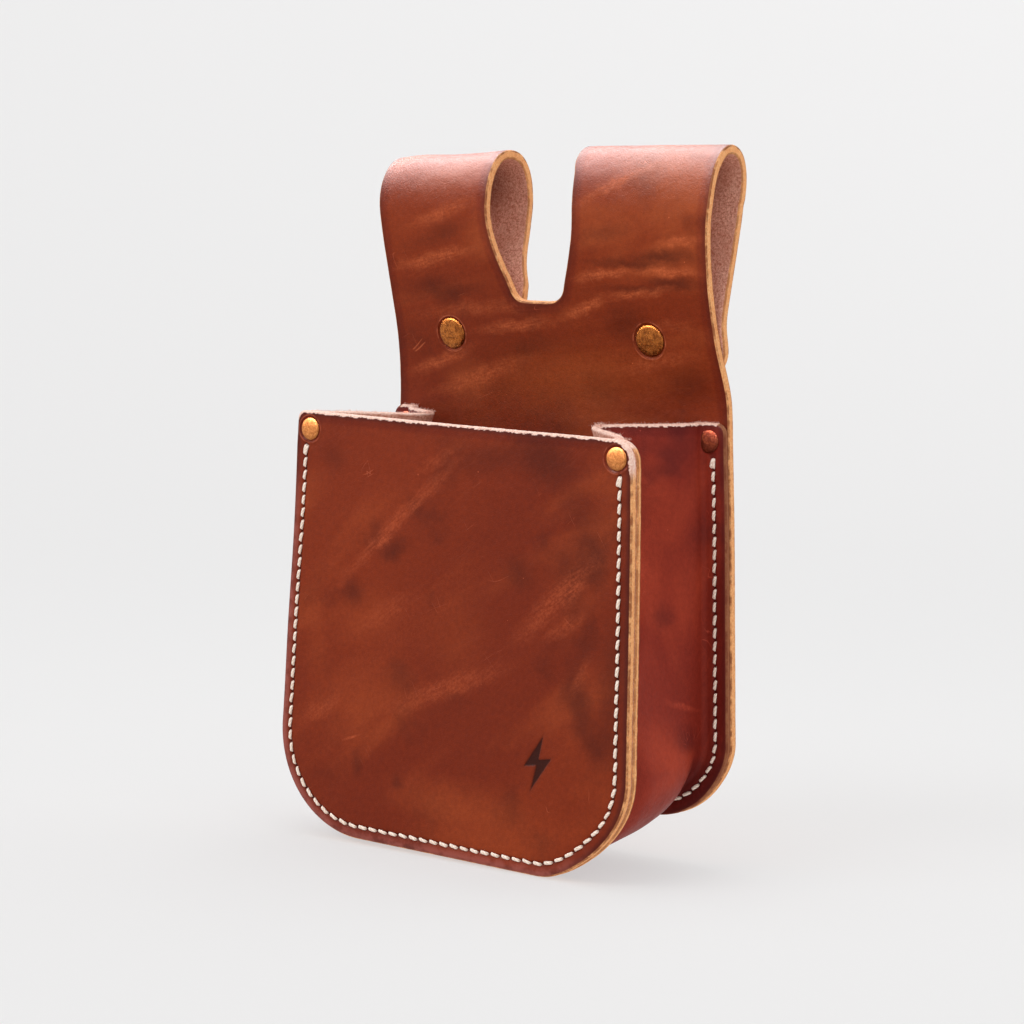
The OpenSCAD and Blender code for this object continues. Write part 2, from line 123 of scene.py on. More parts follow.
def soften(poly, times=2, closed=True):
    p = poly.copy()
    for _ in range(times):
        if closed:
            p = 0.25 * np.roll(p, 1, 0) + 0.5 * p + 0.25 * np.roll(p, -1, 0)
        else:
            q = p.copy()
            q[1:-1] = 0.25 * p[:-2] + 0.5 * p[1:-1] + 0.25 * p[2:]
            p = q
    return p


def seg_dist(pts, poly, closed=True, chunk=1500):
    a = np.asarray(poly, float)
    b = np.roll(a, -1, 0) if closed else a[1:]
    a = a if closed else a[:-1]
    d = b - a
    dd = np.maximum((d * d).sum(1), 1e-12)
    out = np.empty(len(pts))
    for i in range(0, len(pts), chunk):
        v = pts[i:i + chunk, None, :] - a[None]
        t = np.clip((v * d[None]).sum(2) / dd[None], 0, 1)
        w = v - t[:, :, None] * d[None]
        out[i:i + chunk] = np.sqrt((w * w).sum(2).min(1))
    return out


def inside(pts, poly, chunk=4000):
    a = np.asarray(poly, float)
    b = np.roll(a, -1, 0)
    out = np.zeros(len(pts), bool)
    for i in range(0, len(pts), chunk):
        x = pts[i:i + chunk, 0][:, None]; y = pts[i:i + chunk, 1][:, None]
        c = (a[None, :, 1] > y) != (b[None, :, 1] > y)
        with np.errstate(divide="ignore", invalid="ignore"):
            xi = (b[:, 0] - a[:, 0])[None] * (y - a[None, :, 1]) / (b[:, 1] - a[:, 1])[None] + a[None, :, 0]
        out[i:i + chunk] = ((c & (x < xi)).sum(1) % 2) == 1
    return out


def ccw(poly):
    x, y = poly[:, 0], poly[:, 1]
    return poly if (x * np.roll(y, -1) - np.roll(x, -1) * y).sum() > 0 else poly[::-1]


def new_mesh(name, verts_mm, faces, mats, face_mat=None, attrs=None, smooth_shade=True, replaces=()):
    v = (np.asarray(verts_mm, float) - ORG) * 0.001
    me = bpy.data.meshes.new(name)
    me.from_pydata(v.tolist(), [], [list(map(int, f)) for f in faces])
    for m in mats:
        me.materials.append(m)
    if face_mat is not None:
        me.polygons.foreach_set("material_index", np.asarray(face_mat, np.int32))
    if smooth_shade:
        me.polygons.foreach_set("use_smooth", np.ones(len(me.polygons), bool))
    for k, val in (attrs or {}).items():
        val = np.asarray(val, np.float32)
        a = me.attributes.new(k, "FLOAT" if val.ndim == 1 else "FLOAT_VECTOR", "POINT")
        a.data.foreach_set("value" if val.ndim == 1 else "vector", val.ravel())
    me.update()
    me.validate(clean_customdata=False)
    ob = bpy.data.objects.new(name, me)
    scene.collection.objects.link(ob)
    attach(ob, "root")
    if replaces:
        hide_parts(*replaces)
    return ob


# ------------------------------------------------------------------ outlines, the same as the CAD's
def half_outline(wt, wl, h, r, m=0.0, n=40, k=30):
    zc, xc, rr = -(h - r), wl - r, r - m
    s = np.linspace(0, 1, k)
    side = np.stack([(wt - m) + (wl - wt) * s, zc * s], 1)
    a = np.linspace(0, np.pi / 2, n + 1)[1:]
    arc = np.stack([xc + rr * np.cos(a), zc - rr * np.sin(a)], 1)
    return np.vstack([side, arc])


def mirx(p):
    q = p[::-1].copy(); q[:, 0] *= -1
    return q


def topped(wt, wl, h, r, cr, cl):
    o = half_outline(wt, wl, h, r)
    a = np.radians(np.linspace(90, 0, 13))
    half = lambda c: np.vstack([np.stack([wt - c + c * np.cos(a), -c + c * np.sin(a)], 1), o[o[:, 1] < -c - 0.5]])
    return ccw(np.vstack([half(cr), mirx(half(cl))]))


def seam_line(wt, wl, h, r, z0, m):
    o = half_outline(wt, wl, h, r, m, 60, 60)
    o = o[o[:, 1] < z0 - 0.3]
    wz = (wt - m) + (wl - wt) * (-z0 / (h - r))
    half = np.vstack([[[wz, z0]], o])
    return np.vstack([half, mirx(half)])


def along(line, step_count=None):
    s = np.concatenate([[0], np.cumsum(np.hypot(*np.diff(line, axis=0).T))])
    return s


def at_len(line, s, t):
    return np.stack([np.interp(t, s, line[:, 0]), np.interp(t, s, line[:, 1])], -1)


# ------------------------------------------------------------------ one global, gentle distortion shared by every piece
def warp(p):
    """Hand-made unevenness, the same for all pieces, so that what touches keeps touching."""
    p = np.array(p, float)
    x, y, z = p[:, 0].copy(), p[:, 1].copy(), p[:, 2].copy()
    low = 1 - smooth(5.0, 45.0, z)
    near = 1 - smooth(5.0, 62.0, y)
    p[:, 2] += (-0.020 * x + 0.3) * near * low                       # the front panel hangs a little askew
    p[:, 0] -= 0.8 * smooth(0.0, 80.0, -x) * near * low
    # the left loop's outer end droops, its top is rounded
    p[:, 2] -= 1.2 * smooth(28.0, 60.0, -x) * smooth(62.0, 108.0, z) + 1.3 * smooth(70.0, 86.0, -x) * smooth(85.0, 110.0, z)
    p[:, 2] += 0.7 * (1 - smooth(24.0, 40.0, -x)) * smooth(10.0, 22.0, -x) * smooth(90.0, 110.0, z)
    p[:, 2] += 2.7 * smooth(46.0, 70.0, x) * smooth(-128.0, -160.0, z) * near
    web = smooth(8.6, 17.0, y) * (1 - smooth(34.0, 61.0, y)) * smooth(-118.0, -140.0, z) * smooth(14.0, 40.0, np.abs(x))
    dx_, dz_ = np.abs(x) - 44.0, z + 129.0
    dl_ = np.maximum(np.hypot(dx_, dz_), 1e-6)
    out_ = np.maximum(dx_, 0) / dl_
    p[:, 0] += np.sign(x) * 2.2 * web * out_
    p[:, 2] -= 4.6 * web * np.maximum(-dz_, 0) / dl_
    # below, the gusset bags out at its corners
    bag = smooth(8.6, 24.0, y) * (1 - smooth(44.0, 61.0, y)) * smooth(-96.0, -136.0, z) * smooth(8.0, 38.0, np.abs(x))
    p[:, 0] += np.sign(x) * 4.0 * bag * out_
    p[:, 2] -= 3.6 * bag * np.maximum(-dz_, 0) / dl_
    # and the back panel's lower corners are a little rounder
    rear_ = smooth(52.0, 60.0, y) * smooth(34.0, 60.0, np.abs(x)) * smooth(-118.0, -142.0, z)
    p[:, 2] += 2.4 * rear_
    p[:, 0] -= np.sign(x) * 0.5 * rear_
    # slow hand-made unevenness
    q = np.stack([x, y * 0.6, z], 1)
    p[:, 1] += 0.45 * fbm(q, 75.0, 301, 2) * smooth(-175.0, -120.0, z) ** 0.5
    p[:, 0] += 0.30 * fbm(q, 60.0, 401, 2)
    p[:, 2] += 0.22 * fbm(q, 55.0, 501, 2) * smooth(-172.0, -130.0, z)
    return p


# ------------------------------------------------------------------ leather sheet: flat outline -> rounded solid -> bent into place
def sheet(name, outline, t, place, mats, seams=(), dimples=(), h=2.2, press=None, wave=0.0, seed=0, r_edge=1.05, replaces=(), flesh_seams=(), dense=(), bores=(), mark=None, mark_box=None, creases=(), roll=None, raw=None):
    """outline: flat polygon (u, v) in mm. place(u, v, off) -> (n, 3) points. seams: list of (line, holes) on the grain side."""
    out = ccw(resample(outline, 0.9))
    out = soften(out, 1)
    rings = []
    nrm_ = np.roll(out, -1, 0) - np.roll(out, 1, 0)
    nrm_ /= np.maximum(np.hypot(*nrm_.T), 1e-9)[:, None]
    inn = np.stack([-nrm_[:, 1], nrm_[:, 0]], 1)
    for i, d in enumerate((0.12, 0.3, 0.55, 0.85, 1.25, 1.9)):
        q = out + inn * d
        q = q[i % 2::1 if d < 1.0 else 2]
        ok = (seg_dist(q, out) > d * 0.93) & inside(q, out)
        rings.append(q[ok])
    lo, hi = out.min(0), out.max(0)
    gx = np.arange(lo[0], hi[0], h)
    gy = np.arange(lo[1], hi[1], h * 0.866)
    g = np.array([(x + (h / 2 if j % 2 else 0), y) for j, y in enumerate(gy) for x in gx])
    g = g + rng.uniform(-0.12, 0.12, g.shape) * h
    g = g[inside(g, out)]
    g = g[seg_dist(g, out) > 2.6]
    fine = []
    for line, holes in list(seams) + list(flesh_seams):
        s = along(line)
        n = int(s[-1] / 0.72)
        for k, off in enumerate((-1.9, -1.3, -0.85, -0.45, 0, 0.45, 0.85, 1.3, 1.9)):
            tt = (np.arange(n) + (0.5 if k % 2 else 0)) * s[-1] / n
            c = at_len(line, s, tt)
            c2 = at_len(line, s, np.minimum(tt + 0.3, s[-1])); c1 = at_len(line, s, np.maximum(tt - 0.3, 0))
            tg = c2 - c1; tg /= np.maximum(np.hypot(*tg.T), 1e-9)[:, None]
            fine.append(c + np.stack([-tg[:, 1], tg[:, 0]], 1) * off)
        g = g[seg_dist(g, line, False) > 2.6]
    for (cx, cy, rad, dep) in dimples:
        for rr in np.concatenate([np.arange(0.6, rad - 0.8, 1.1), [rad - 0.75, rad - 0.3, rad, rad + 0.22, rad + 0.5, rad + 0.9, rad + 1.5, rad + 2.3, rad + 3.2]]):
            m = max(8, int(2 * np.pi * rr / 0.8))
            a = np.arange(m) * 2 * np.pi / m + rr
            fine.append(np.stack([cx + rr * np.cos(a), cy + rr * np.sin(a)], 1))
        g = g[np.hypot(g[:, 0] - cx, g[:, 1] - cy) > rad + 3.9]
    for line, offs, step in dense:
        s = along(line)
        n = max(2, int(s[-1] / step))
        for k, off in enumerate(offs):
            tt = (np.arange(n) + (0.5 if k % 2 else 0)) * s[-1] / n
            c = at_len(line, s, tt)
            tg = at_len(line, s, np.minimum(tt + 0.3, s[-1])) - at_len(line, s, np.maximum(tt - 0.3, 0))
            tg /= np.maximum(np.hypot(*tg.T), 1e-9)[:, None]
            fine.append(c + np.stack([-tg[:, 1], tg[:, 0]], 1) * off)
        g = g[seg_dist(g, line, False) > max(abs(o) for o in offs) + 0.7]
    if mark_box is not None:
        x0, z0, x1, z1 = mark_box
        st = 0.45
        mx, mz = np.meshgrid(np.arange(x0, x1, st), np.arange(z0, z1, st * 0.866))
        mx = mx + (np.arange(mx.shape[0]) % 2)[:, None] * st / 2
        fine.append(np.stack([mx.ravel(), mz.ravel()], 1))
        g = g[~((g[:, 0] > x0 - 0.8) & (g[:, 0] < x1 + 0.8) & (g[:, 1] > z0 - 0.8) & (g[:, 1] < z1 + 0.8))]
    for (cx, cy, rad) in bores:
        a = np.arange(20) * 2 * np.pi / 20
        fine = [q[np.hypot(q[:, 0] - cx, q[:, 1] - cy) > rad + 0.5] for q in fine]
        fine.append(np.stack([cx + rad * np.cos(a), cy + rad * np.sin(a)], 1))
        fine.append(np.stack([cx + (rad + 0.6) * np.cos(a + 0.157), cy + (rad + 0.6) * np.sin(a + 0.157)], 1))
        g = g[np.hypot(g[:, 0] - cx, g[:, 1] - cy) > rad + 1.0]
    fine = np.vstack(fine) if fine else np.zeros((0, 2))
    if len(fine):
        fine = fine[inside(fine, out)]
        fine = fine[seg_dist(fine, out) > 2.2]
    pts = np.vstack([out] + rings + [fine, g])
    nb = len(out)
    # drop near-duplicates away from the boundary
    kd = KDTree(len(pts))
    for i, p in enumerate(pts):
        kd.insert((p[0], p[1], 0), i)
    kd.balance()
    keep = np.ones(len(pts), bool)
    first_free = nb + sum(len(q) for q in rings)
    for i in range(first_free, len(pts)):
        if keep[i]:
            for _, j, dd in kd.find_range((pts[i][0], pts[i][1], 0), 0.28):
                if j > i:
                    keep[j] = False
    pts = pts[keep]
    cv, ce, cf, ov, oe, of = delaunay_2d_cdt([Vector(p) for p in pts], [], [list(range(nb))], 1, 1e-5)
    P = np.array([(v.x, v.y) for v in cv])
    tris = np.array([list(f) for f in cf if len(f) == 3])
    # orient
    A, B, C = P[tris[:, 0]], P[tris[:, 1]], P[tris[:, 2]]
    neg = ((B[:, 0] - A[:, 0]) * (C[:, 1] - A[:, 1]) - (B[:, 1] - A[:, 1]) * (C[:, 0] - A[:, 0])) < 0
    tris[neg] = tris[neg][:, ::-1]
    area = np.abs((B[:, 0] - A[:, 0]) * (C[:, 1] - A[:, 1]) - (B[:, 1] - A[:, 1]) * (C[:, 0] - A[:, 0]))
    tris = tris[area > 1e-7]
    for (cx, cy, rad) in bores:
        cen = P[tris].mean(1)
        tris = tris[np.hypot(cen[:, 0] - cx, cen[:, 1] - cy) > rad * 0.99]
    used = np.unique(tris)
    remap = -np.ones(len(P), int); remap[used] = np.arange(len(used))
    P = P[used]; tris = remap[tris]
    n = len(P)
    e = seg_dist(P, out)
    edges = {}
    for t3 in tris:
        for a, b in ((t3[0], t3[1]), (t3[1], t3[2]), (t3[2], t3[0])):
            edges[(a, b)] = edges.get((a, b), 0) + 1
    rim = [(a, b) for (a, b) in edges if (b, a) not in edges]
    rimv = np.unique([a for a, b in rim] + [b for a, b in rim])
    bore_of = {}
    for (cx, cy, rad) in bores:
        for v in rimv:
            if abs(math.hypot(P[v, 0] - cx, P[v, 1] - cy) - rad) < 0.05:
                bore_of[int(v)] = (cx, cy)
    e[[v for v in rimv if int(v) not in bore_of]] = 0
    ec = np.clip(e, 0, r_edge)
    half = t / 2 - r_edge + np.sqrt(np.maximum(r_edge ** 2 - (r_edge - ec) ** 2, 0))
    u3 = np.stack([P[:, 0], P[:, 1], np.zeros(n)], 1)
    # grain side relief
    top = half.copy()
    groove = np.zeros(n)
    holes_f = np.zeros(n)
    for line, holes in seams:
        d = seg_dist(P, line, False)
        groove = np.maximum(groove, np.exp(-(d / 1.05) ** 2))
        kd = KDTree(len(holes))
        for i, q in enumerate(holes):
            kd.insert((q[0], q[1], 0), i)
        kd.balance()
        near = np.nonzero(d < 2.5)[0]
        for i in near:
            dd = kd.find((P[i, 0], P[i, 1], 0))[2]
            holes_f[i] = max(holes_f[i], math.exp(-(dd / 0.62) ** 2))
    for (ax_, az_, bx_, bz_, wid, dep) in creases:
        d = seg_dist(P, np.array([[ax_, az_], [bx_, bz_]]), False)
        g_ = np.exp(-(d / wid) ** 2)
        top_c = dep * g_
        groove = np.maximum(groove, 0.9 * np.exp(-(d / (wid * 0.6)) ** 2))
        top -= top_c - 0.35 * dep * np.exp(-((d - 1.9 * wid) / wid) ** 2)
    top -= 0.42 * np.minimum(groove, 1) * (seg_near(P, seams) if len(creases) else 1) + 0.45 * holes_f
    dim = np.zeros(n)
    for (cx, cy, rad, dep) in dimples:
        d = np.hypot(P[:, 0] - cx, P[:, 1] - cy)
        inn_ = 1 - smooth(rad - 0.1, rad + 0.35, d)
        ring = np.exp(-((d - rad - 0.95) / 0.6) ** 2)
        top += -dep * inn_ - 0.35 * dep * (1 - smooth(rad + 0.6, rad + 4.0, d)) * (1 - inn_) + 0.22 * ring
        dim = np.maximum(dim, np.exp(-np.maximum(d - rad, 0) / 1.1))
    if mark is not None:
        top -= mark(P)
    rl = np.zeros(n)
    if roll is not None:
        rl = roll(P)
        top -= 0.85 * rl * (1 - np.clip(e / 4.4, 0, 1)) ** 2.0
        # from here on rl masks the painted pinkish reflection on the rolled margin
        rl = rl * (1 - smooth(2.2, 4.9, e))
    rw = raw(P) if raw is not None else np.zeros(n)
    top += 0.05 * fbm(u3, 7.0, seed + 3, 3) * smooth(0.5, 3, e) + 0.06 * fbm(u3 * [1, 1, 1] + 40, 22.0, seed + 5, 2) * smooth(0.5, 3, e)
    bot = half.copy()
    bot += 0.04 * fbm(u3, 5.0, seed + 9, 3)
    for line, holes in flesh_seams:
        d = seg_dist(P, line, False)
        bot -= 0.35 * np.exp(-(d / 1.0) ** 2)
    w = (wave * fbm(u3, 70.0, seed + 11, 2) if np.isscalar(wave) else wave(P)) * np.ones(n)
    Vt = place(P[:, 0], P[:, 1], w + top)
    Vb = place(P[:, 0], P[:, 1], w - bot)
    # cut edge
    L = 4
    verts = [Vt, Vb]
    a_e = [e, e]; a_t = [np.ones(n), -np.ones(n)]
    mk = np.clip(mark(P) / 0.42, 0, 1) if mark is not None else np.zeros(n)
    gr = [groove, np.zeros(n)]; hf = [holes_f, np.zeros(n)]; dm = [dim, np.zeros(n)]
    idx = {int(v): i for i, v in enumerate(rimv)}
    base = 2 * n
    layers = []
    for l in range(1, L):
        f = l / L
        q = Vt[rimv] * (1 - f) + Vb[rimv] * f
        fz = 0.07 * fbm(q, 1.6, seed + 21 + l, 2)
        cen = (Vt[rimv] + Vb[rimv]) / 2
        # push out a little along the outward direction in the sheet
        rn = rim_normal(P, rimv, out)
        for k, v in enumerate(rimv):
            if int(v) in bore_of:
                c_ = bore_of[int(v)]
                rn[k] = (np.array(c_) - P[v]) / max(1e-9, math.hypot(*(np.array(c_) - P[v])))
        out_dir = place(P[rimv, 0] + rn[:, 0] * 0.05, P[rimv, 1] + rn[:, 1] * 0.05, w[rimv]) - place(P[rimv, 0], P[rimv, 1], w[rimv])
        out_dir /= np.maximum(np.linalg.norm(out_dir, axis=1), 1e-9)[:, None]
        amount = 0.10 * math.sin(math.pi * f) + fz
        amount = np.where([int(v) in bore_of for v in rimv], 0.0, amount)
        q = q + out_dir * amount[:, None]
        verts.append(q); a_e.append(np.zeros(len(rimv))); a_t.append(np.full(len(rimv), 1 - 2 * f))
        z = np.zeros(len(rimv)); gr.append(z); hf.append(z); dm.append(z)
        layers.append(base + (l - 1) * len(rimv))
    faces = tris.tolist() + (tris[:, ::-1] + n).tolist()
    for a, b in rim:
        ia, ib = idx[int(a)], idx[int(b)]
        col = [(int(a), int(b))] + [(o + ia, o + ib) for o in layers] + [(int(a) + n, int(b) + n)]
        for (p1, p2), (p3, p4) in zip(col, col[1:]):
            faces.append([p2, p1, p3, p4])
    V = warp(np.vstack(verts))
    flat = np.vstack([np.stack([P[:, 0], P[:, 1], top], 1), np.stack([P[:, 0], P[:, 1], -bot], 1)] +
                     [np.stack([P[rimv, 0], P[rimv, 1], np.full(len(rimv), (0.5 - l / L) * t)], 1) for l in range(1, L)])
    ob = new_mesh(name, V, faces, mats, attrs={"a_e": np.concatenate(a_e), "a_t": np.concatenate(a_t), "a_groove": np.concatenate(gr), "a_hole": np.concatenate(hf),
                                              "a_dimple": np.concatenate(dm), "a_roll_sheen": np.concatenate([rl, np.zeros(len(V) - n)]), "a_raw_edge_and_highlight": np.concatenate([rw, rw] + [rw[rimv]] * (L - 1)), "a_flat": flat, "a_mark": np.concatenate([mk, np.zeros(len(V) - n)])}, replaces=replaces)
    fix_normals(ob)
    return ob


def seg_near(P, seams):
    m = np.zeros(len(P))
    for line, holes in seams:
        m = np.maximum(m, (seg_dist(P, line, False) < 2.6).astype(float))
    return m


def rim_normal(P, rimv, out):
    """outward direction in the flat sheet at rim vertices"""
    a = out; tg = np.roll(out, -1, 0) - np.roll(out, 1, 0)
    tg /= np.maximum(np.hypot(*tg.T), 1e-9)[:, None]
    kd = KDTree(len(a))
    for i, q in enumerate(a):
        kd.insert((q[0], q[1], 0), i)
    kd.balance()
    r = np.zeros((len(rimv), 2))
    for k, v in enumerate(rimv):
        i = kd.find((P[v, 0], P[v, 1], 0))[1]
        r[k] = (tg[i, 1], -tg[i, 0])
    return r


# ------------------------------------------------------------------ stitches
def stitch_points(line):
    s = along(line)
    n = int(s[-1] // PITCH)
    p = s[-1] / n
    return s, n, p


def seam_holes(line):
    s, n, p = stitch_points(line)
    return at_len(line, s, np.arange(n + 1) * p)


def stitch_row(name, line, y, side, mat, z0=0.0, length=4.25, width=1.34, height=1.1, slant=9.0, seed=0, replaces=(), doubled=1, clearance=None):
    """One row of stitches lying on a face at depth y. side -1: seen from -Y, +1: seen from +Y."""
    s, n, p = stitch_points(line)
    nt, nx = 14, 15
    th = np.arange(nt) * 2 * np.pi / nt
    V, F, U = [], [], []
    r = np.random.default_rng(seed)

    def one(c, tdir, L, wid, hei, ang, lift, off):
        base = len(V) * 0 + sum(len(v) for v in V)
        x = np.linspace(-1, 1, nx)
        x = np.sign(x) * (1 - (1 - np.abs(x)) ** 1.25)
        prof = np.sqrt(np.clip(1 - np.abs(x) ** 5.0, 0.05, 1))
        plies = 1 + 0.055 * np.cos(3 * (th[None] - x[:, None] * 2.6 + r.uniform(0, 6.28)))
        ca, sa = math.cos(ang), math.sin(ang)
        lx = x * L / 2
        yy = (wid / 2) * prof[:, None] * np.cos(th)[None] * plies
        zz = (hei / 2) * prof[:, None] * np.sin(th)[None] * plies
        hz = lift + 0.12 * (1 - x ** 2) - 0.75 * np.abs(x) ** 7
        X = np.repeat(lx[:, None], nt, 1); Y = yy + off; Z = zz + hz[:, None]
        X2 = X * ca - Y * sa; Y2 = X * sa + Y * ca
        nd = np.array([-tdir[1], tdir[0]])
        px = c[0] + X2 * tdir[0] + Y2 * nd[0]
        pz = c[1] + X2 * tdir[1] + Y2 * nd[1]
        py = y + side * Z
        vv = np.stack([px.ravel(), py.ravel(), pz.ravel() + z0], 1)
        caps = np.array([[c[0] + (-L / 2) * (ca * tdir[0] + sa * nd[0]), y + side * (hz[0]), c[1] + (-L / 2) * (ca * tdir[1] + sa * nd[1]) + z0],
                         [c[0] + (L / 2) * (ca * tdir[0] + sa * nd[0]), y + side * (hz[-1]), c[1] + (L / 2) * (ca * tdir[1] + sa * nd[1]) + z0]])
        V.append(np.vstack([vv, caps]))
        rr = r.uniform(0, 1)
        U.append(np.stack([np.concatenate([X.ravel(), [0, 0]]), np.concatenate([np.tile(th, nx), [0, 0]]), np.full(nt * nx + 2, rr)], 1))
        fl = []
        for i in range(nx - 1):
            for j in range(nt):
                a = base + i * nt + j; b = base + i * nt + (j + 1) % nt
                q = [a, b, b + nt, a + nt]
                fl.append(q)
        for j in range(nt):
            fl.append([base + nt * nx, base + (j + 1) % nt, base + j])
            o = base + (nx - 1) * nt
            fl.append([base + nt * nx + 1, o + j, o + (j + 1) % nt])
        F.extend(fl)

    for i in range(n):
        a = at_len(line, s, np.array([i * p + 0.15]))[0]; b = at_len(line, s, np.array([(i + 1) * p - 0.15]))[0]
        c = (a + b) / 2; d = b - a; d /= np.hypot(*d)
        L = length * (1 + r.uniform(-0.04, 0.04))
        ang = math.radians(slant + r.uniform(-3.0, 3.0)) * -1
        if i < doubled or i >= n - doubled:
            one(c, d, L * 1.06, width * 0.92, height, ang + 0.05, 0.02, 0.42)
            one(c, d, L * 1.06, width * 0.92, height, ang - 0.12, 0.10, -0.42)
        else:
            one(c, d, L, width * (1 + r.uniform(-0.07, 0.07)), height, ang, r.uniform(-0.03, 0.04), r.uniform(-0.08, 0.08))
    V = np.vstack(V); U = np.vstack(U)
    # faces outward whichever the side
    if side < 0:
        pass
    F = np.array([f if len(f) == 4 else f + [f[-1]] for f in F])
    faces = [list(f) if f[3] != f[2] else list(f[:3]) for f in F]
    ob = new_mesh(name, warp(V), faces, [mat], attrs={"a_yarn": U}, replaces=replaces)
    fix_normals(ob)
    return ob


def fix_normals(ob):
    import bmesh
    bm = bmesh.new(); bm.from_mesh(ob.data)
    bmesh.ops.recalc_face_normals(bm, faces=bm.faces)
    bm.to_mesh(ob.data); bm.free()


# ------------------------------------------------------------------ lathed metal
def lathe(name, prof, frame_m, mat, seg=72, seed=0, dent=0.0, replaces=(), close_top=True, close_bottom=True, tilt=(0, 0)):
    """prof: list of (r, z) in mm from axis bottom to axis top; frame_m: 4x4 numpy to pocket mm."""
    prof = np.array(prof, float)
    r0 = np.random.default_rng(seed)
    ph = r0.uniform(0, 6.28, 4)
    V = []
    th = np.arange(seg) * 2 * np.pi / seg
    for (r, z) in prof:
        wob = 1 + 0.006 * np.cos(2 * th + ph[0]) + 0.004 * np.cos(3 * th + ph[1])
        x = r * wob * np.cos(th); y = r * wob * np.sin(th)
        zz = np.full(seg, z)
        V.append(np.stack([x, y, zz], 1))
    V = np.vstack(V)
    if dent:
        nz = fbm(V + seed * 31.7, 2.6, seed, 2) * dent * (np.hypot(V[:, 0], V[:, 1]) < prof[:, 0].max() * 0.92) * (V[:, 2] < prof[0, 1] + 1.2)
        V[:, 2] += nz
    m = len(prof)
    F = []
    for i in range(m - 1):
        for j in range(seg):
            a = i * seg + j; b = i * seg + (j + 1) % seg
            F.append([a, b, b + seg, a + seg])
    extra = []
    rad = np.hypot(V[:, 0], V[:, 1])
    if prof[0, 0] > 1e-6 and close_bottom:
        V = np.vstack([V, [0, 0, V[:seg, 2].mean()]]); c = len(V) - 1
        F += [[c, (j + 1) % seg, j] for j in range(seg)]
    if prof[-1, 0] > 1e-6 and close_top:
        o = (m - 1) * seg
        V = np.vstack([V, [0, 0, V[o:o + seg, 2].mean()]]); c = len(V) - 1
        F += [[c, o + j, o + (j + 1) % seg] for j in range(seg)]
    if not close_top and not close_bottom:   # a washer: join the last ring to the first
        o = (m - 1) * seg
        F += [[o + j, o + (j + 1) % seg, (j + 1) % seg, j] for j in range(seg)]
    loc = V.copy()
    W = V @ frame_m[:3, :3].T + frame_m[:3, 3]
    ob = new_mesh(name, warp(W), F, [mat], attrs={"a_loc": loc, "a_rad": np.hypot(loc[:, 0], loc[:, 1])}, replaces=replaces)
    fix_normals(ob)
    return ob


def axis_frame(origin, axis):
    z = np.array(axis, float); z /= np.linalg.norm(z)
    x = np.array([1.0, 0, 0]); y = np.cross(z, x); y /= np.linalg.norm(y); x = np.cross(y, z)
    m = np.eye(4); m[:3, 0] = x; m[:3, 1] = y; m[:3, 2] = z; m[:3, 3] = origin
    return m


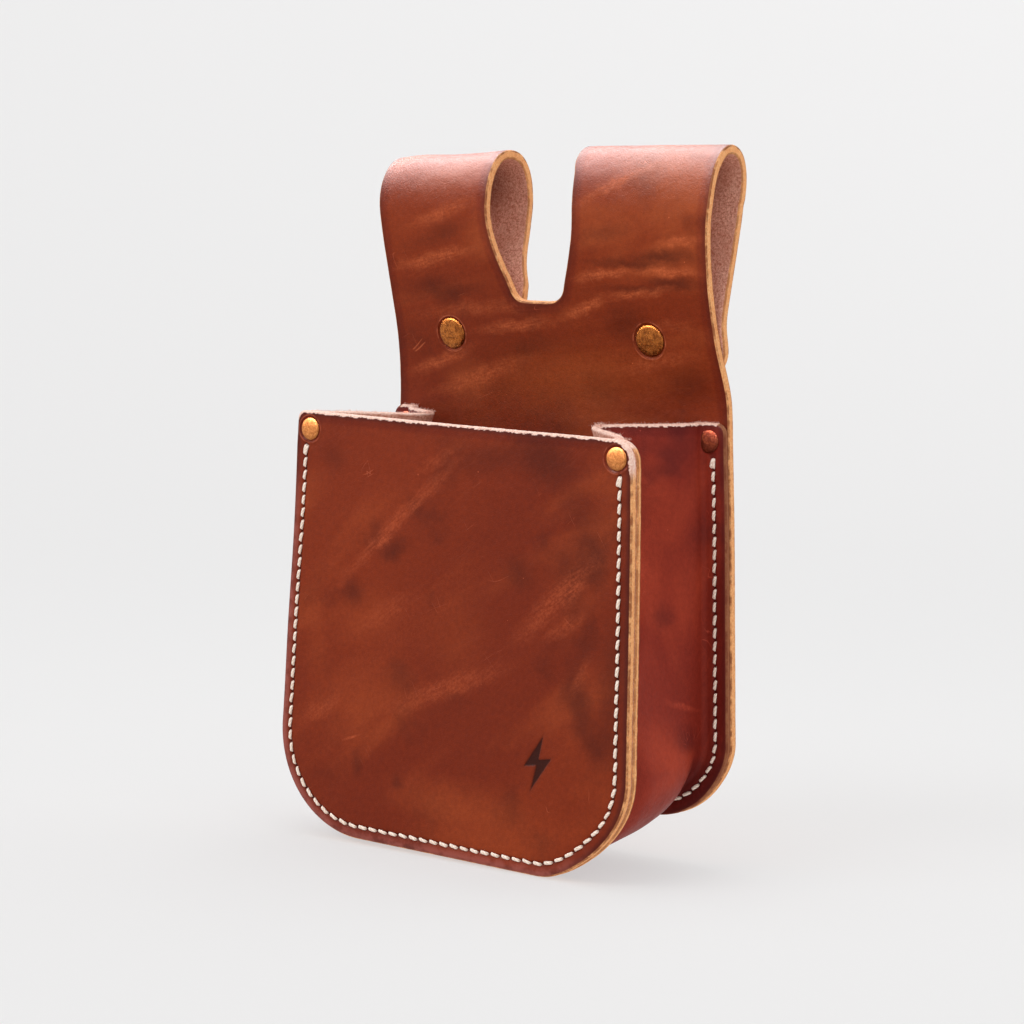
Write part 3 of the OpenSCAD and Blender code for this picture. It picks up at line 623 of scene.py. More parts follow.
# ------------------------------------------------------------------ materials
class Nodes:
    def __init__(self, name):
        self.m = bpy.data.materials.new(name); self.m.use_nodes = True
        self.t = self.m.node_tree; self.t.nodes.clear()
        self.out = self.t.nodes.new("ShaderNodeOutputMaterial")
        self.b = self.t.nodes.new("ShaderNodeBsdfPrincipled")
        self.t.links.new(self.b.outputs[0], self.out.inputs[0])

    def n(self, kind, **kw):
        x = self.t.nodes.new(kind)
        for k, v in kw.items():
            setattr(x, k, v)
        return x

    def link(self, a, b):
        self.t.links.new(a, b)

    def put(self, sock, v):
        if hasattr(v, "is_linked") or isinstance(v, bpy.types.NodeSocket):
            self.link(v, sock)
        else:
            sock.default_value = v

    def coords(self, scale=1000.0, rot=(0, 0, 0), stretch=(1, 1, 1), attr=None):
        if attr:
            c = self.n("ShaderNodeAttribute"); c.attribute_name = attr; src = c.outputs["Vector"]; s = tuple(stretch)
        else:
            c = self.n("ShaderNodeTexCoord"); src = c.outputs["Object"]; s = tuple(scale * k for k in stretch)
        # turn first, then stretch
        m1 = self.n("ShaderNodeMapping"); m1.inputs["Rotation"].default_value = rot; self.link(src, m1.inputs["Vector"])
        m2 = self.n("ShaderNodeMapping"); m2.inputs["Scale"].default_value = s; self.link(m1.outputs[0], m2.inputs["Vector"])
        return m2.outputs[0]

    def noise(self, vec, scale, detail=4.0, rough=0.55, distort=0.0, lac=2.0):
        x = self.n("ShaderNodeTexNoise"); self.link(vec, x.inputs["Vector"])
        x.inputs["Scale"].default_value = scale; x.inputs["Detail"].default_value = detail
        x.inputs["Roughness"].default_value = rough; x.inputs["Distortion"].default_value = distort; x.inputs["Lacunarity"].default_value = lac
        return x.outputs["Fac"]

    def voronoi(self, vec, scale, feature="F1", rnd=1.0, out="Distance"):
        x = self.n("ShaderNodeTexVoronoi"); x.feature = feature; self.link(vec, x.inputs["Vector"])
        x.inputs["Scale"].default_value = scale; x.inputs["Randomness"].default_value = rnd
        return x.outputs[out]

    def ramp(self, fac, stops, interp="LINEAR"):
        x = self.n("ShaderNodeValToRGB"); x.color_ramp.interpolation = interp
        cr = x.color_ramp
        while len(cr.elements) < len(stops):
            cr.elements.new(0.5)
        for e_, (p, c) in zip(cr.elements, stops):
            e_.position = p
            e_.color = c if hasattr(c, "__len__") and len(c) == 4 else ((c, c, c, 1) if not hasattr(c, "__len__") else (*c, 1))
        self.link(fac, x.inputs[0])
        return x.outputs["Color"]

    def rng(self, v, a, b, c=0.0, d=1.0, smooth_=False):
        x = self.n("ShaderNodeMapRange"); x.interpolation_type = "SMOOTHSTEP" if smooth_ else "LINEAR"
        self.put(x.inputs["Value"], v)
        x.inputs["From Min"].default_value = a; x.inputs["From Max"].default_value = b
        x.inputs["To Min"].default_value = c; x.inputs["To Max"].default_value = d
        return x.outputs["Result"]

    def math(self, op, a, b=None, clamp=False):
        x = self.n("ShaderNodeMath"); x.operation = op; x.use_clamp = clamp
        self.put(x.inputs[0], a)
        if b is not None:
            self.put(x.inputs[1], b)
        return x.outputs[0]

    def mix(self, fac, a, b, mode="MIX"):
        x = self.n("ShaderNodeMix"); x.data_type = "RGBA"; x.blend_type = mode
        self.put(x.inputs[0], fac)
        self.put(x.inputs[6], a if not isinstance(a, tuple) else (*a, 1) if len(a) == 3 else a)
        self.put(x.inputs[7], b if not isinstance(b, tuple) else (*b, 1) if len(b) == 3 else b)
        return x.outputs[2]

    def attr(self, name, out="Fac"):
        x = self.n("ShaderNodeAttribute"); x.attribute_name = name
        return x.outputs[out]

    def bump(self, height, strength, dist, normal=None):
        x = self.n("ShaderNodeBump"); x.inputs["Strength"].default_value = strength; x.inputs["Distance"].default_value = dist
        self.link(height, x.inputs["Height"])
        if normal is not None:
            self.link(normal, x.inputs["Normal"])
        return x.outputs[0]


def srgb(r, g, b):
    f = lambda c: (c / 255 / 12.92) if c / 255 <= 0.04045 else ((c / 255 + 0.055) / 1.055) ** 2.4
    return (f(r), f(g), f(b))


def leather(name, mid, dark, light, deep, seed=0.0, streak_rot=(0, math.radians(38), 0), gloss=0.42, streaks=1.0, tint=(0.66, 0.50, 0.66), rim=0.62, paint=((), (), ()), loop_inside_painted_shade=(), gain=1.0):
    """Waxed pull-up leather on the grain side, suede on the flesh side, pale raw edge where it is cut."""
    N = Nodes(name)
    mid, dark, light, deep = (tuple(c * gain for c in k) for k in (mid, dark, light, deep))
    co = N.coords()
    off = N.n("ShaderNodeVectorMath"); off.operation = "ADD"; off.inputs[1].default_value = (seed * 113.0, seed * 57.0, seed * 31.0)
    N.link(co, off.inputs[0]); P = off.outputs[0]
    # broad tone: slow, slanting drifts from dark to light
    slow = N.coords(rot=streak_rot, stretch=(0.42, 1.0, 1.0))
    so = N.n("ShaderNodeVectorMath"); so.operation = "ADD"; so.inputs[1].default_value = (seed * 71.0, 3.0, seed * 91.0)
    N.link(slow, so.inputs[0]); SP = so.outputs[0]
    big = N.noise(SP, 0.013, 2.0, 0.45)
    col = N.mix(N.rng(big, 0.36, 0.64, 0, 1, True), dark, mid)
    drift = N.noise(SP, 0.032, 3.0, 0.5, 0.3)
    col = N.mix(N.rng(drift, 0.50, 0.76, 0, 0.62, True), col, light)
    shade = N.noise(P, 0.026, 3.0, 0.55)
    col = N.mix(N.rng(shade, 0.45, 0.26, 0, 0.62, True), col, deep)
    # pull-up: soft bright bands along the slant, broken up by the grain, and a few narrow ones
    lp = N.coords(rot=streak_rot, stretch=(0.16, 1.0, 1.0))
    lo_ = N.n("ShaderNodeVectorMath"); lo_.operation = "ADD"; lo_.inputs[1].default_value = (seed * 23.0, 5.0, seed * 37.0)
    N.link(lp, lo_.inputs[0]); LP = lo_.outputs[0]
    grit = N.noise(P, 1.0, 4.0, 0.7)
    broken = N.rng(grit, 0.32, 0.66, 0.35, 1, True)
    bandn = N.noise(LP, 0.045, 3.0, 0.5, 0.25)
    wide = N.rng(bandn, 0.53, 0.70, 0, 1, True)
    narrow = N.noise(LP, 0.17, 2.0, 0.5, 0.35)
    line = N.math("MULTIPLY", N.rng(N.math("ABSOLUTE", N.math("SUBTRACT", narrow, 0.5)), 0.0, 0.035, 1.0, 0.0, True), N.rng(N.noise(P, 0.030, 2.0, 0.5), 0.50, 0.64, 0, 1, True))
    stf = N.math("MULTIPLY", N.math("ADD", N.math("MULTIPLY", line, 0.22 * streaks), N.math("MULTIPLY", wide, 0.46 * streaks)), broken)
    col = N.mix(stf, col, tuple(min(1, c * 1.22) for c in light))
    # wear and tone laid on one by one: streaks, lighter and darker areas, each a soft slanting ellipse with a ragged
    # outline; the back panel's lighter areas low down are painted light, and the strokes on the suede inside the loops
    # are painted shade
    fl = N.n("ShaderNodeAttribute"); fl.attribute_name = "a_flat"
    nz = N.n("ShaderNodeTexNoise"); N.link(P, nz.inputs["Vector"]); nz.inputs["Scale"].default_value = 0.11; nz.inputs["Detail"].default_value = 4.0; nz.inputs["Roughness"].default_value = 0.6
    ns = N.n("ShaderNodeVectorMath"); ns.operation = "MULTIPLY_ADD"; N.link(nz.outputs["Color"], ns.inputs[0]); ns.inputs[1].default_value = (7.0, 7.0, 0); ns.inputs[2].default_value = (-3.5, -3.5, 0)
    wr = N.n("ShaderNodeVectorMath"); wr.operation = "ADD"; N.link(fl.outputs["Vector"], wr.inputs[0]); N.link(ns.outputs[0], wr.inputs[1])

    def strokes(items, src):
        tot = None
        for (u0, v0, u1, v1, wid, amp) in items:
            m = N.n("ShaderNodeMapping"); m.vector_type = "TEXTURE"
            N.link(fl.outputs["Vector"] if wid < 1.0 else src, m.inputs["Vector"])
            m.inputs["Location"].default_value = ((u0 + u1) / 2, (v0 + v1) / 2, 0)
            m.inputs["Rotation"].default_value = (0, 0, math.atan2(v1 - v0, u1 - u0))
            m.inputs["Scale"].default_value = (max(0.5, math.hypot(u1 - u0, v1 - v0)) * 0.62, wid, 1000.0)
            ln = N.n("ShaderNodeVectorMath"); ln.operation = "LENGTH"; N.link(m.outputs[0], ln.inputs[0])
            f = N.rng(ln.outputs["Value"], 1.0, 0.0, 0.0, amp, True)
            tot = f if tot is None else N.math("MAXIMUM", tot, f)
        return tot

    sb, st_, sd = (strokes(k, wr.outputs[0]) for k in paint)
    # lighter areas; on the back panel the ones low down are painted light
    if st_ is not None:
        col = N.mix(st_, col, light)
    if sd is not None:
        col = N.mix(sd, col, tuple(c * 0.85 for c in deep))
    if sb is not None:
        comb = N.rng(N.noise(LP, 1.1, 3.0, 0.6), 0.34, 0.62, 0.45, 1, True)
        col = N.mix(N.math("MULTIPLY", N.math("MULTIPLY", sb, broken), comb), col, tuple(min(1, c * 1.42 + 0.012) for c in light))
    specks = N.rng(N.voronoi(P, 0.085, "F1"), 0.030, 0.014, 0.0, 1.0, True)
    col = N.mix(N.math("MULTIPLY", specks, 0.55), col, tuple(min(1, c * 1.8 + 0.03) for c in light))
    # fine mottling of the dye
    mott = N.noise(P, 0.55, 5.0, 0.65)
    col = N.mix(N.rng(mott, 0.3, 0.72, 0.0, 1.0), N.mix(1.0, col, (0.87, 0.84, 0.84), "MULTIPLY"), N.mix(1.0, col, (1.09, 1.07, 1.05), "MULTIPLY"))
    # scratches: few, short, pale
    scr = None
    for k, (rx, sc, th) in enumerate(((math.radians(-58), 0.11, 0.0030), (math.radians(24), 0.09, 0.0026))):
        pv = N.coords(rot=(0.2 * k, rx, 0.3 * k), stretch=(0.13, 1.0, 1.0))
        o2 = N.n("ShaderNodeVectorMath"); o2.operation = "ADD"; o2.inputs[1].default_value = (seed * 19.0 + 7 * k, 3.0 * k, seed * 47.0)
        N.link(pv, o2.inputs[0])
        sn = N.noise(o2.outputs[0], sc, 1.0, 0.5, 0.2)
        sl = N.rng(N.math("ABSOLUTE", N.math("SUBTRACT", sn, 0.52)), 0.0, th, 1.0, 0.0, True)
        sw = N.rng(N.noise(P, 0.06, 2.0, 0.5), 0.62, 0.69, 0, 1, True)
        sl = N.math("MULTIPLY", sl, sw)
        scr = sl if scr is None else N.math("MAXIMUM", scr, sl)
    col = N.mix(N.math("MULTIPLY", scr, 0.42), col, tuple(min(1, c * 1.7 + 0.03) for c in light))
    # pressed and burnished zones, with painted shade in the stitch holes, a painted highlight on the dimples' lips and
    # a painted reflection on the rolled margin
    e = N.attr("a_e"); side = N.attr("a_t"); groove = N.attr("a_groove"); hole_shade = N.attr("a_hole"); dim = N.attr("a_dimple")
    wobble = N.math("MULTIPLY", N.math("SUBTRACT", N.noise(P, 0.25, 3.0, 0.6), 0.5), 1.4)
    border = N.rng(N.math("ADD", e, wobble), 5.6, 3.4, 0.0, 1.0, True)
    col = N.mix(N.math("MULTIPLY", border, 0.55), col, N.mix(1.0, col, tint, "MULTIPLY"))
    rimd = N.rng(N.math("ADD", e, N.math("MULTIPLY", wobble, 0.45)), 3.0, 0.9, 0.0, 1.0, True)
    col = N.mix(N.math("MULTIPLY", rimd, rim), col, srgb(66, 24, 20))
    col = N.mix(N.math("MULTIPLY", groove, 0.40), col, deep)
    # painted shade: near-black spots at the stitch holes, which the mesh only dents
    col = N.mix(N.math("MULTIPLY", hole_shade, 0.85), col, tuple(c * 0.18 for c in deep))
    col = N.mix(N.math("MULTIPLY", dim, 0.40), col, deep)
    col = N.mix(N.math("MULTIPLY", N.attr("a_mark"), 0.88), col, srgb(40, 16, 12))
    # painted highlight: a pale ring on the lip round each rivet's dimple, where the light catches it
    lip_highlight = N.rng(N.math("ABSOLUTE", N.math("SUBTRACT", dim, 0.46)), 0.0, 0.17, 1.0, 0.0, True)
    col = N.mix(N.math("MULTIPLY", N.math("MULTIPLY", lip_highlight, 0.50), N.rng(N.noise(P, 0.30, 2.0, 0.5), 0.40, 0.60, 0.15, 1.0, True)), col, tuple(min(1, c * 1.5 + 0.05) for c in light))
    # painted reflection: the rolled margin is tinted pale pink, standing in for the bright floor seen in it
    roll_sheen = N.attr("a_roll_sheen")
    col = N.mix(N.math("MULTIPLY", N.math("MULTIPLY", roll_sheen, 0.62), N.rng(N.noise(P, 0.20, 3.0, 0.55), 0.3, 0.6, 0.35, 1.0, True)), col, srgb(178, 98, 86))
    grain_col = col
    # flesh side
    fn = N.noise(P, 1.15, 5.0, 0.8)
    fb = N.noise(P, 0.06, 3.0, 0.5)
    flesh = N.mix(N.rng(fn, 0.38, 0.62), srgb(186, 108, 86), srgb(255, 206, 182))
    flesh = N.mix(N.rng(fb, 0.35, 0.65, 0, 0.30, True), flesh, srgb(206, 132, 104))
    # painted shade: near-black soft ellipses on the suede inside the tops of the loops, standing in for the shadow
    # there
    loop_inside_shade_mask = strokes(loop_inside_painted_shade, fl.outputs["Vector"])
    if loop_inside_shade_mask is not None:
        flesh = N.mix(loop_inside_shade_mask, flesh, N.mix(1.0, flesh, (0.16, 0.13, 0.12), "MULTIPLY"))
    # raw edge, with fibres along it and dye bled in from the grain
    en = N.noise(co, 1.1, 5.0, 0.72, 0.4)
    en2 = N.noise(co, 0.22, 3.0, 0.6)
    edge = N.mix(N.rng(en, 0.30, 0.70), srgb(226, 140, 82), srgb(255, 198, 138))
    edge = N.mix(N.rng(en2, 0.50, 0.72, 0, 0.45, True), edge, srgb(226, 146, 92))
    dye = N.rng(N.math("ADD", side, N.math("MULTIPLY", N.math("SUBTRACT", en2, 0.5), 0.9)), 0.84, 1.10, 0, 1, True)
    dye2 = N.rng(N.math("ADD", side, N.math("MULTIPLY", N.math("SUBTRACT", en2, 0.5), -0.9)), -0.78, -1.05, 0, 1, True)
    fleck = N.rng(N.noise(co, 2.3, 3.0, 0.7), 0.60, 0.70, 0, 1, True)
    edge = N.mix(N.math("MULTIPLY", fleck, 0.5), edge, srgb(150, 84, 50))
    edge = N.mix(N.math("MULTIPLY", dye, 0.72), edge, srgb(112, 46, 26))
    edge = N.mix(N.math("MULTIPLY", dye2, 0.55), edge, srgb(120, 58, 34))
    # pale pinkish white in the raw zone: on the gusset's top edges the raw fibres' own colour, on the front panel's top
    # edge and upper right corner a painted highlight; reach spreads it a little onto the face
    raw = N.attr("a_raw_edge_and_highlight")
    pale = N.rng(raw, 0.0, 0.7, 0, 1, True)
    edge = N.mix(pale, edge, N.mix(N.rng(en, 0.34, 0.62), srgb(226, 168, 146), srgb(255, 224, 208)))
    edge = N.mix(N.rng(raw, 0.0, -0.7, 0, 0.80, True), edge, srgb(116, 56, 40))
    # choose
    isflesh = N.rng(side, -0.80, -0.98, 0, 1)
    body = N.mix(isflesh, grain_col, flesh)
    reach = N.math("MULTIPLY", pale, N.rng(N.noise(co, 0.5, 3.0, 0.7), 0.35, 0.65, 0.1, 0.75, True))
    isedge = N.rng(N.math("SUBTRACT", N.math("ADD", e, N.math("MULTIPLY", N.math("SUBTRACT", en, 0.5), 0.35)), reach), 0.62, 0.34, 0, 1, True)
    col = N.mix(isedge, body, edge)
    N.link(col, N.b.inputs["Base Color"])
    # gloss
    rn = N.noise(P, 0.5, 4.0, 0.65)
    rg = N.rng(rn, 0.25, 0.75, gloss - 0.05, gloss + 0.12)
    rough = N.mix(isflesh, rg, (0.92, 0.92, 0.92))
    rough = N.mix(isedge, rough, (0.80, 0.80, 0.80))
    N.link(rough, N.b.inputs["Roughness"])
    N.b.inputs["Specular IOR Level"].default_value = 0.09
    # relief: pores, fine creases, suede nap, edge fibres
    pores = N.rng(N.voronoi(P, 1.25, "F1"), 0.05, 0.5, 0.0, 1.0, True)
    cre = N.voronoi(N.coords(stretch=(1.0, 1.0, 0.7)), 0.80, "DISTANCE_TO_EDGE")
    cre = N.rng(cre, 0.0, 0.12, 0.0, 1.0, True)
    fine = N.noise(P, 2.6, 3.0, 0.6)
    hgt = N.math("ADD", N.math("MULTIPLY", pores, 0.35), N.math("ADD", N.math("MULTIPLY", cre, 0.20), N.math("MULTIPLY", fine, 0.45)))
    hgt = N.math("SUBTRACT", hgt, N.math("MULTIPLY", line, 0.20))
    hgt = N.math("SUBTRACT", hgt, N.math("MULTIPLY", scr, 0.5))
    nap = N.math("ADD", N.noise(P, 1.6, 6.0, 0.8), N.math("MULTIPLY", N.noise(P, 5.0, 3.0, 0.7), 0.5))
    hh = N.mix(isflesh, hgt, nap)
    hh = N.mix(isedge, hh, N.math("MULTIPLY", en, 1.6))
    b1 = N.bump(hh, 0.50, 0.00018)
    b2 = N.bump(N.noise(P, 0.12, 3.0, 0.5), 0.35, 0.0009, b1)
    N.link(b2, N.b.inputs["Normal"])
    return N.m


def thread_mat():
    N = Nodes("waxed_thread")
    u = N.n("ShaderNodeAttribute"); u.attribute_name = "a_yarn"
    sep = N.n("ShaderNodeSeparateXYZ"); N.link(u.outputs["Vector"], sep.inputs[0])
    x, th, rnd = sep.outputs
    ply = N.math("SINE", N.math("ADD", N.math("MULTIPLY", th, 3.0), N.math("MULTIPLY", x, -3.6)))
    co = N.coords()
    dirt = N.noise(co, 0.7, 4.0, 0.6)
    # painted shade: the twist's grooves are coloured darker than its crests
    col = N.mix(N.rng(ply, -1, 0.2, 0, 1, True), srgb(238, 208, 186), srgb(255, 240, 224))
    col = N.mix(N.rng(dirt, 0.50, 0.80, 0, 0.32, True), col, srgb(206, 156, 122))
    col = N.mix(N.math("MULTIPLY", rnd, 0.16), col, srgb(206, 172, 142))
    ends = N.rng(N.math("ABSOLUTE", x), 1.55, 2.2, 0, 1, True)
    col = N.mix(N.math("MULTIPLY", ends, 0.40), col, srgb(140, 86, 62))
    N.link(col, N.b.inputs["Base Color"])
    N.link(N.rng(dirt, 0.2, 0.8, 0.55, 0.75), N.b.inputs["Roughness"])
    N.b.inputs["Sheen Weight"].default_value = 0.15
    N.b.inputs["Specular IOR Level"].default_value = 0.35
    fib = N.noise(N.coords(stretch=(1, 1, 1)), 4.0, 3.0, 0.6)
    N.link(N.bump(N.math("ADD", fib, N.math("MULTIPLY", ply, 0.4)), 0.45, 0.00012), N.b.inputs["Normal"])
    return N.m


def brass_mat(name, bright, dark, seed=0.0, rough=0.34, patina=0.5, grit=0.55):
    N = Nodes(name)
    loc = N.n("ShaderNodeAttribute"); loc.attribute_name = "a_loc"
    off = N.n("ShaderNodeVectorMath"); off.operation = "ADD"; off.inputs[1].default_value = (seed * 13.7, seed * 5.1, seed * 3.3)
    N.link(loc.outputs["Vector"], off.inputs[0]); P = off.outputs[0]
    blot = N.noise(P, 0.55, 5.0, 0.65, 0.8)
    col = N.mix(N.rng(blot, 0.35, 0.68, 0, 1, True), dark, bright)
    fine = N.noise(P, 3.2, 4.0, 0.7)
    col = N.mix(N.rng(fine, 0.52, 0.70, 0, grit, True), col, tuple(c * 0.38 for c in dark))
    lines = None
    for k, rz in enumerate((0.5, 1.35, 2.3)):
        m1 = N.n("ShaderNodeMapping"); m1.inputs["Rotation"].default_value = (0, 0, rz + seed); N.link(P, m1.inputs["Vector"])
        m2 = N.n("ShaderNodeMapping"); m2.inputs["Scale"].default_value = (0.16, 1, 1); N.link(m1.outputs[0], m2.inputs["Vector"])
        s = N.noise(m2.outputs[0], 1.7 + 0.5 * k, 2.0, 0.5)
        l = N.rng(N.math("ABSOLUTE", N.math("SUBTRACT", s, 0.5)), 0.0, 0.012, 1.0, 0.0, True)
        lines = l if lines is None else N.math("MAXIMUM", lines, l)
    col = N.mix(N.math("MULTIPLY", lines, 0.45), col, tuple(min(1, c * 1.5 + 0.04) for c in bright))
    r = N.attr("a_rad")
    N.link(col, N.b.inputs["Base Color"])
    N.b.inputs["Metallic"].default_value = 1.0
    rg = N.rng(N.noise(P, 1.4, 4.0, 0.6), 0.3, 0.7, rough - 0.08, rough + 0.18)
    rg = N.math("SUBTRACT", rg, N.math("MULTIPLY", lines, 0.1))
    N.link(rg, N.b.inputs["Roughness"])
    h = N.math("SUBTRACT", N.math("MULTIPLY", fine, 0.5), N.math("MULTIPLY", lines, 0.6))
    N.link(N.bump(h, 0.5, 0.00010), N.b.inputs["Normal"])
    return N.m


# ------------------------------------------------------------------ the pieces
def catmull(v, n=24):
    v = np.array(v, float); out = []
    for i in range(len(v) - 1):
        a = v[max(0, i - 1)]; b = v[i]; c = v[i + 1]; d = v[min(len(v) - 1, i + 2)]
        for t in np.arange(n) / n:
            out.append(0.5 * (2 * b + (c - a) * t + (2 * a - 5 * b + 4 * c - d) * t * t + (3 * b - a - 3 * c + d) * t ** 3))
    return np.array(out + [v[-1]])


# profile of the back panel and loops, middle of the leather, (Y, Z)
lnv = np.array([1, LEAN]) / math.hypot(1, LEAN)
TS = LC + lnv * (B_T + 0.15)
on_f = lambda z: (LC[0] - LEAN * (z - LC[1]), z)
on_t = lambda z: (TS[0] - LEAN * (z - TS[1]), z)
YM = (YB0 + YB1) / 2
CTL = [(YM, RISE), (YM - 0.62, 13.0), on_f(22), on_f(29), on_f(36), on_f(48), (55.2, 60), (51.6, 75), (50.0, 89)]
OVER = {1: [(52.2, 101.2), (57.8, 109.2), (64.3, 111.4)], -1: [(51.9, 99.6), (57.2, 107.1), (64.6, 109.6)]}
DOWN = {1: [(70.4, 108.8), (73.4, 101), (72.6, 88), (70.0, 74), (67.4, 61), (65.6, 52)],
        -1: [(72.6, 107.9), (78.2, 100.8), (79.9, 90), (77.9, 80.5), (73.4, 71.5), (69.0, 63), (66.3, 54.5)]}
TAIL_END = [(64.55, 46), on_t(40.8), on_t(37), on_t(30), on_t(24), on_t(17)]


class Profile:
    """the middle line of the back panel and one loop, by its length from the bottom"""
    def __init__(self, sgn):
        c = catmull(CTL + OVER[sgn] + DOWN[sgn] + TAIL_END)
        p = np.vstack([[(YM, z) for z in np.arange(-176.0, RISE, 2.0)], c])
        ps = np.concatenate([[0], np.cumsum(np.hypot(*np.diff(p, axis=0).T))])
        self.s = np.arange(0, ps[-1], 0.5)
        q = np.stack([np.interp(self.s, ps, p[:, 0]), np.interp(self.s, ps, p[:, 1])], 1)
        for _ in range(24):
            r = q.copy(); r[1:-1] = 0.25 * q[:-2] + 0.5 * q[1:-1] + 0.25 * q[2:]; q = r
        self.p = q
        t = np.gradient(q, axis=0); self.t = t / np.hypot(*t.T)[:, None]
        self.i = int(np.argmax(q[:, 1])); self.top = self.s[self.i]; self.ztop = q[self.i, 1]

    def front(self, z):
        return np.interp(z, self.p[:self.i + 1, 1], self.s[:self.i + 1])

    def tail(self, z):
        return np.interp(-np.asarray(z, float), -self.p[self.i:, 1], self.s[self.i:])

    def at(self, v, off):
        f = lambda a: np.interp(v, self.s, a)
        y, z, ty, tz = f(self.p[:, 0]), f(self.p[:, 1]), f(self.t[:, 0]), f(self.t[:, 1])
        l = np.hypot(ty, tz)
        return y - tz / l * off, z + ty / l * off


PR = {1: Profile(1), -1: Profile(-1)}
S_f = PR[1].front
MID_X = -6.0


def place_back(u, v, off):
    yr, zr = PR[1].at(v, off); yl, zl = PR[-1].at(v, off)
    m = np.asarray(u) < MID_X
    return np.stack([u, np.where(m, yl, yr), np.where(m, zl, zr)], 1)


LW, WW, SHIFT = 82.0, 79.75, -1.4
NW, NLW, NZ, NSH = 42.4, 21.0, 50.0, -6.0


def upper_side(sgn):
    q = [(BT_W, RISE), (BT_W - 0.6, 16), (WW + 0.4, 34), (WW, 50), (WW + 0.3, 64), (LW - 1.2, 78), (LW, 92), (LW + 0.2, 105), (LW, 125)]
    return catmull([(sgn * a + SHIFT * min(1, max(0, (b - 10) / 40)), b) for a, b in q], 8)


def notch_side(sgn):
    if sgn > 0:
        q = [(NW / 2 - 1.8, 130), (NW / 2 - 1.8, 108), (NW / 2 + 0.1, 100), (NW / 2 + 0.7, 88), (NW / 2 + 0.3, 79), (NW / 2 - 1.7, 70),
             (NLW / 2 + 5.4, 59), (NLW / 2 + 3.2, 53.4), (NLW / 2 - 0.6, NZ + 0.6), (NLW / 2 - 4.6, NZ)]
    else:
        q = [(NW / 2, 130), (NW / 2, 104), (NW / 2, 92), (NW / 2 - 0.4, 82), (NW / 2 - 3.4, 70), (NLW / 2 + 2.2, 58), (NLW / 2 + 0.3, 53), (NLW / 2 - 2, NZ + 0.7), (NLW / 2 - 5, NZ)]
    return catmull([(sgn * a + NSH, b) for a, b in q], 8)


def x_outer(sgn, z):
    p = upper_side(sgn)
    return np.interp(z, p[:, 1], p[:, 0])


def x_tail(sgn, z):
    """outer edge of a tail: straight down from the loop"""
    return np.where(np.asarray(z, float) > 91, x_outer(sgn, np.maximum(z, 91)), sgn * (LW + (-1.4 if sgn > 0 else 1.4) - 0.4 * float(smooth(91, 78, 78))) + 0 * np.asarray(z, float))


def x_notch(sgn, z):
    p = notch_side(sgn)[::-1]
    p = p[p[:, 1] > 57]
    lo = np.array([[NLW / 2 + NSH + 2.5, 12.0], [NLW / 2 + NSH + 3.4, 52.0]]) if sgn > 0 else np.array([[-NLW / 2 + NSH - 0.5, 12.0], [-NLW / 2 + NSH - 1.2, 52.0]])
    p = np.vstack([lo, p])
    return np.interp(z, p[:, 1], p[:, 0])


def back_outline():
    low = half_outline(BT_W, BL_W, B_H, B_R, 0, 40, 40)[1:]
    low = np.stack([low[:, 0], S_f(low[:, 1] + RISE)], 1)
    tail_z, tail_r = 21.0, 13.0

    def strap(sgn):
        """from the outer side of the pocket's top round the strap to the bottom of the gap"""
        F = PR[sgn]
        zf = np.arange(RISE, F.ztop - 0.4, 1.0)
        a = np.stack([x_outer(sgn, zf), F.front(zf)], 1)
        zt = np.arange(F.ztop - 0.4, tail_z + tail_r, -1.0)
        b = np.stack([x_tail(sgn, zt), F.tail(zt)], 1)
        mid = np.array([[x_outer(sgn, F.ztop), F.top]])
        xo = float(x_tail(sgn, tail_z + tail_r)); xi = float(x_notch(sgn, tail_z + tail_r))
        an = np.radians(np.linspace(0, 90, 12))
        e1 = np.stack([xo - sgn * tail_r * (1 - np.cos(an)), tail_z + tail_r - tail_r * np.sin(an)], 1)
        e2 = np.stack([xi + sgn * tail_r * (1 - np.cos(an[::-1])), tail_z + tail_r - tail_r * np.sin(an[::-1])], 1)
        ee = np.vstack([e1, e2])
        ee = np.stack([ee[:, 0], F.tail(ee[:, 1])], 1)
        zi = np.arange(tail_z + tail_r, F.ztop - 0.4, 1.0)
        c = np.stack([x_notch(sgn, zi), F.tail(zi)], 1)
        mid2 = np.array([[x_notch(sgn, F.ztop), F.top]])
        nf = notch_side(sgn)
        nf = nf[nf[:, 1] < F.ztop - 0.4]
        d = np.stack([nf[:, 0], F.front(nf[:, 1])], 1)
        return np.vstack([a, mid, b, ee, c, mid2, d])

    R = strap(1); L = strap(-1)
    return np.vstack([low[::-1], R, L[::-1], mirx(low[::-1])])


def rivet_profile(cap_d, length, crown, e=0.5):
    R, sh = cap_d / 2, 1.6
    p = [(0.06, -e - crown)]
    for a in np.radians(np.linspace(8, 90, 14)):
        p.append(((R - 0.35) * math.sin(a), -e - crown * math.cos(a)))
    p += [(R - 0.12, -e * 0.9), (R, -e * 0.6), (R, -0.12), (R - 0.1, 0.0), (sh + 0.3, 0.0), (sh, 0.06), (sh, length), (sh, length + 1.22)]
    p += [(sh + 0.42, length + 1.3), (sh + 0.55, length + 1.45), (sh + 0.38, length + 1.75), (sh * 0.8, length + 1.98), (sh * 0.35, length + 2.08), (0.06, length + 2.1)]
    return p


def burr_profile(d):
    R = d / 2; r = 1.68
    return [(r, 0.04), (R - 0.12, 0.04), (R, 0.14), (R, 0.72), (R - 0.12, 0.95), (R - 0.38, 1.18), (R - 0.7, 1.25), (r + 0.2, 1.22), (r, 1.1)]


FX, FZ = FT_W - RIV_IN, -RIV_DROP
BX, BZ = BT_W - RIV_IN, RISE - RIV_DROP

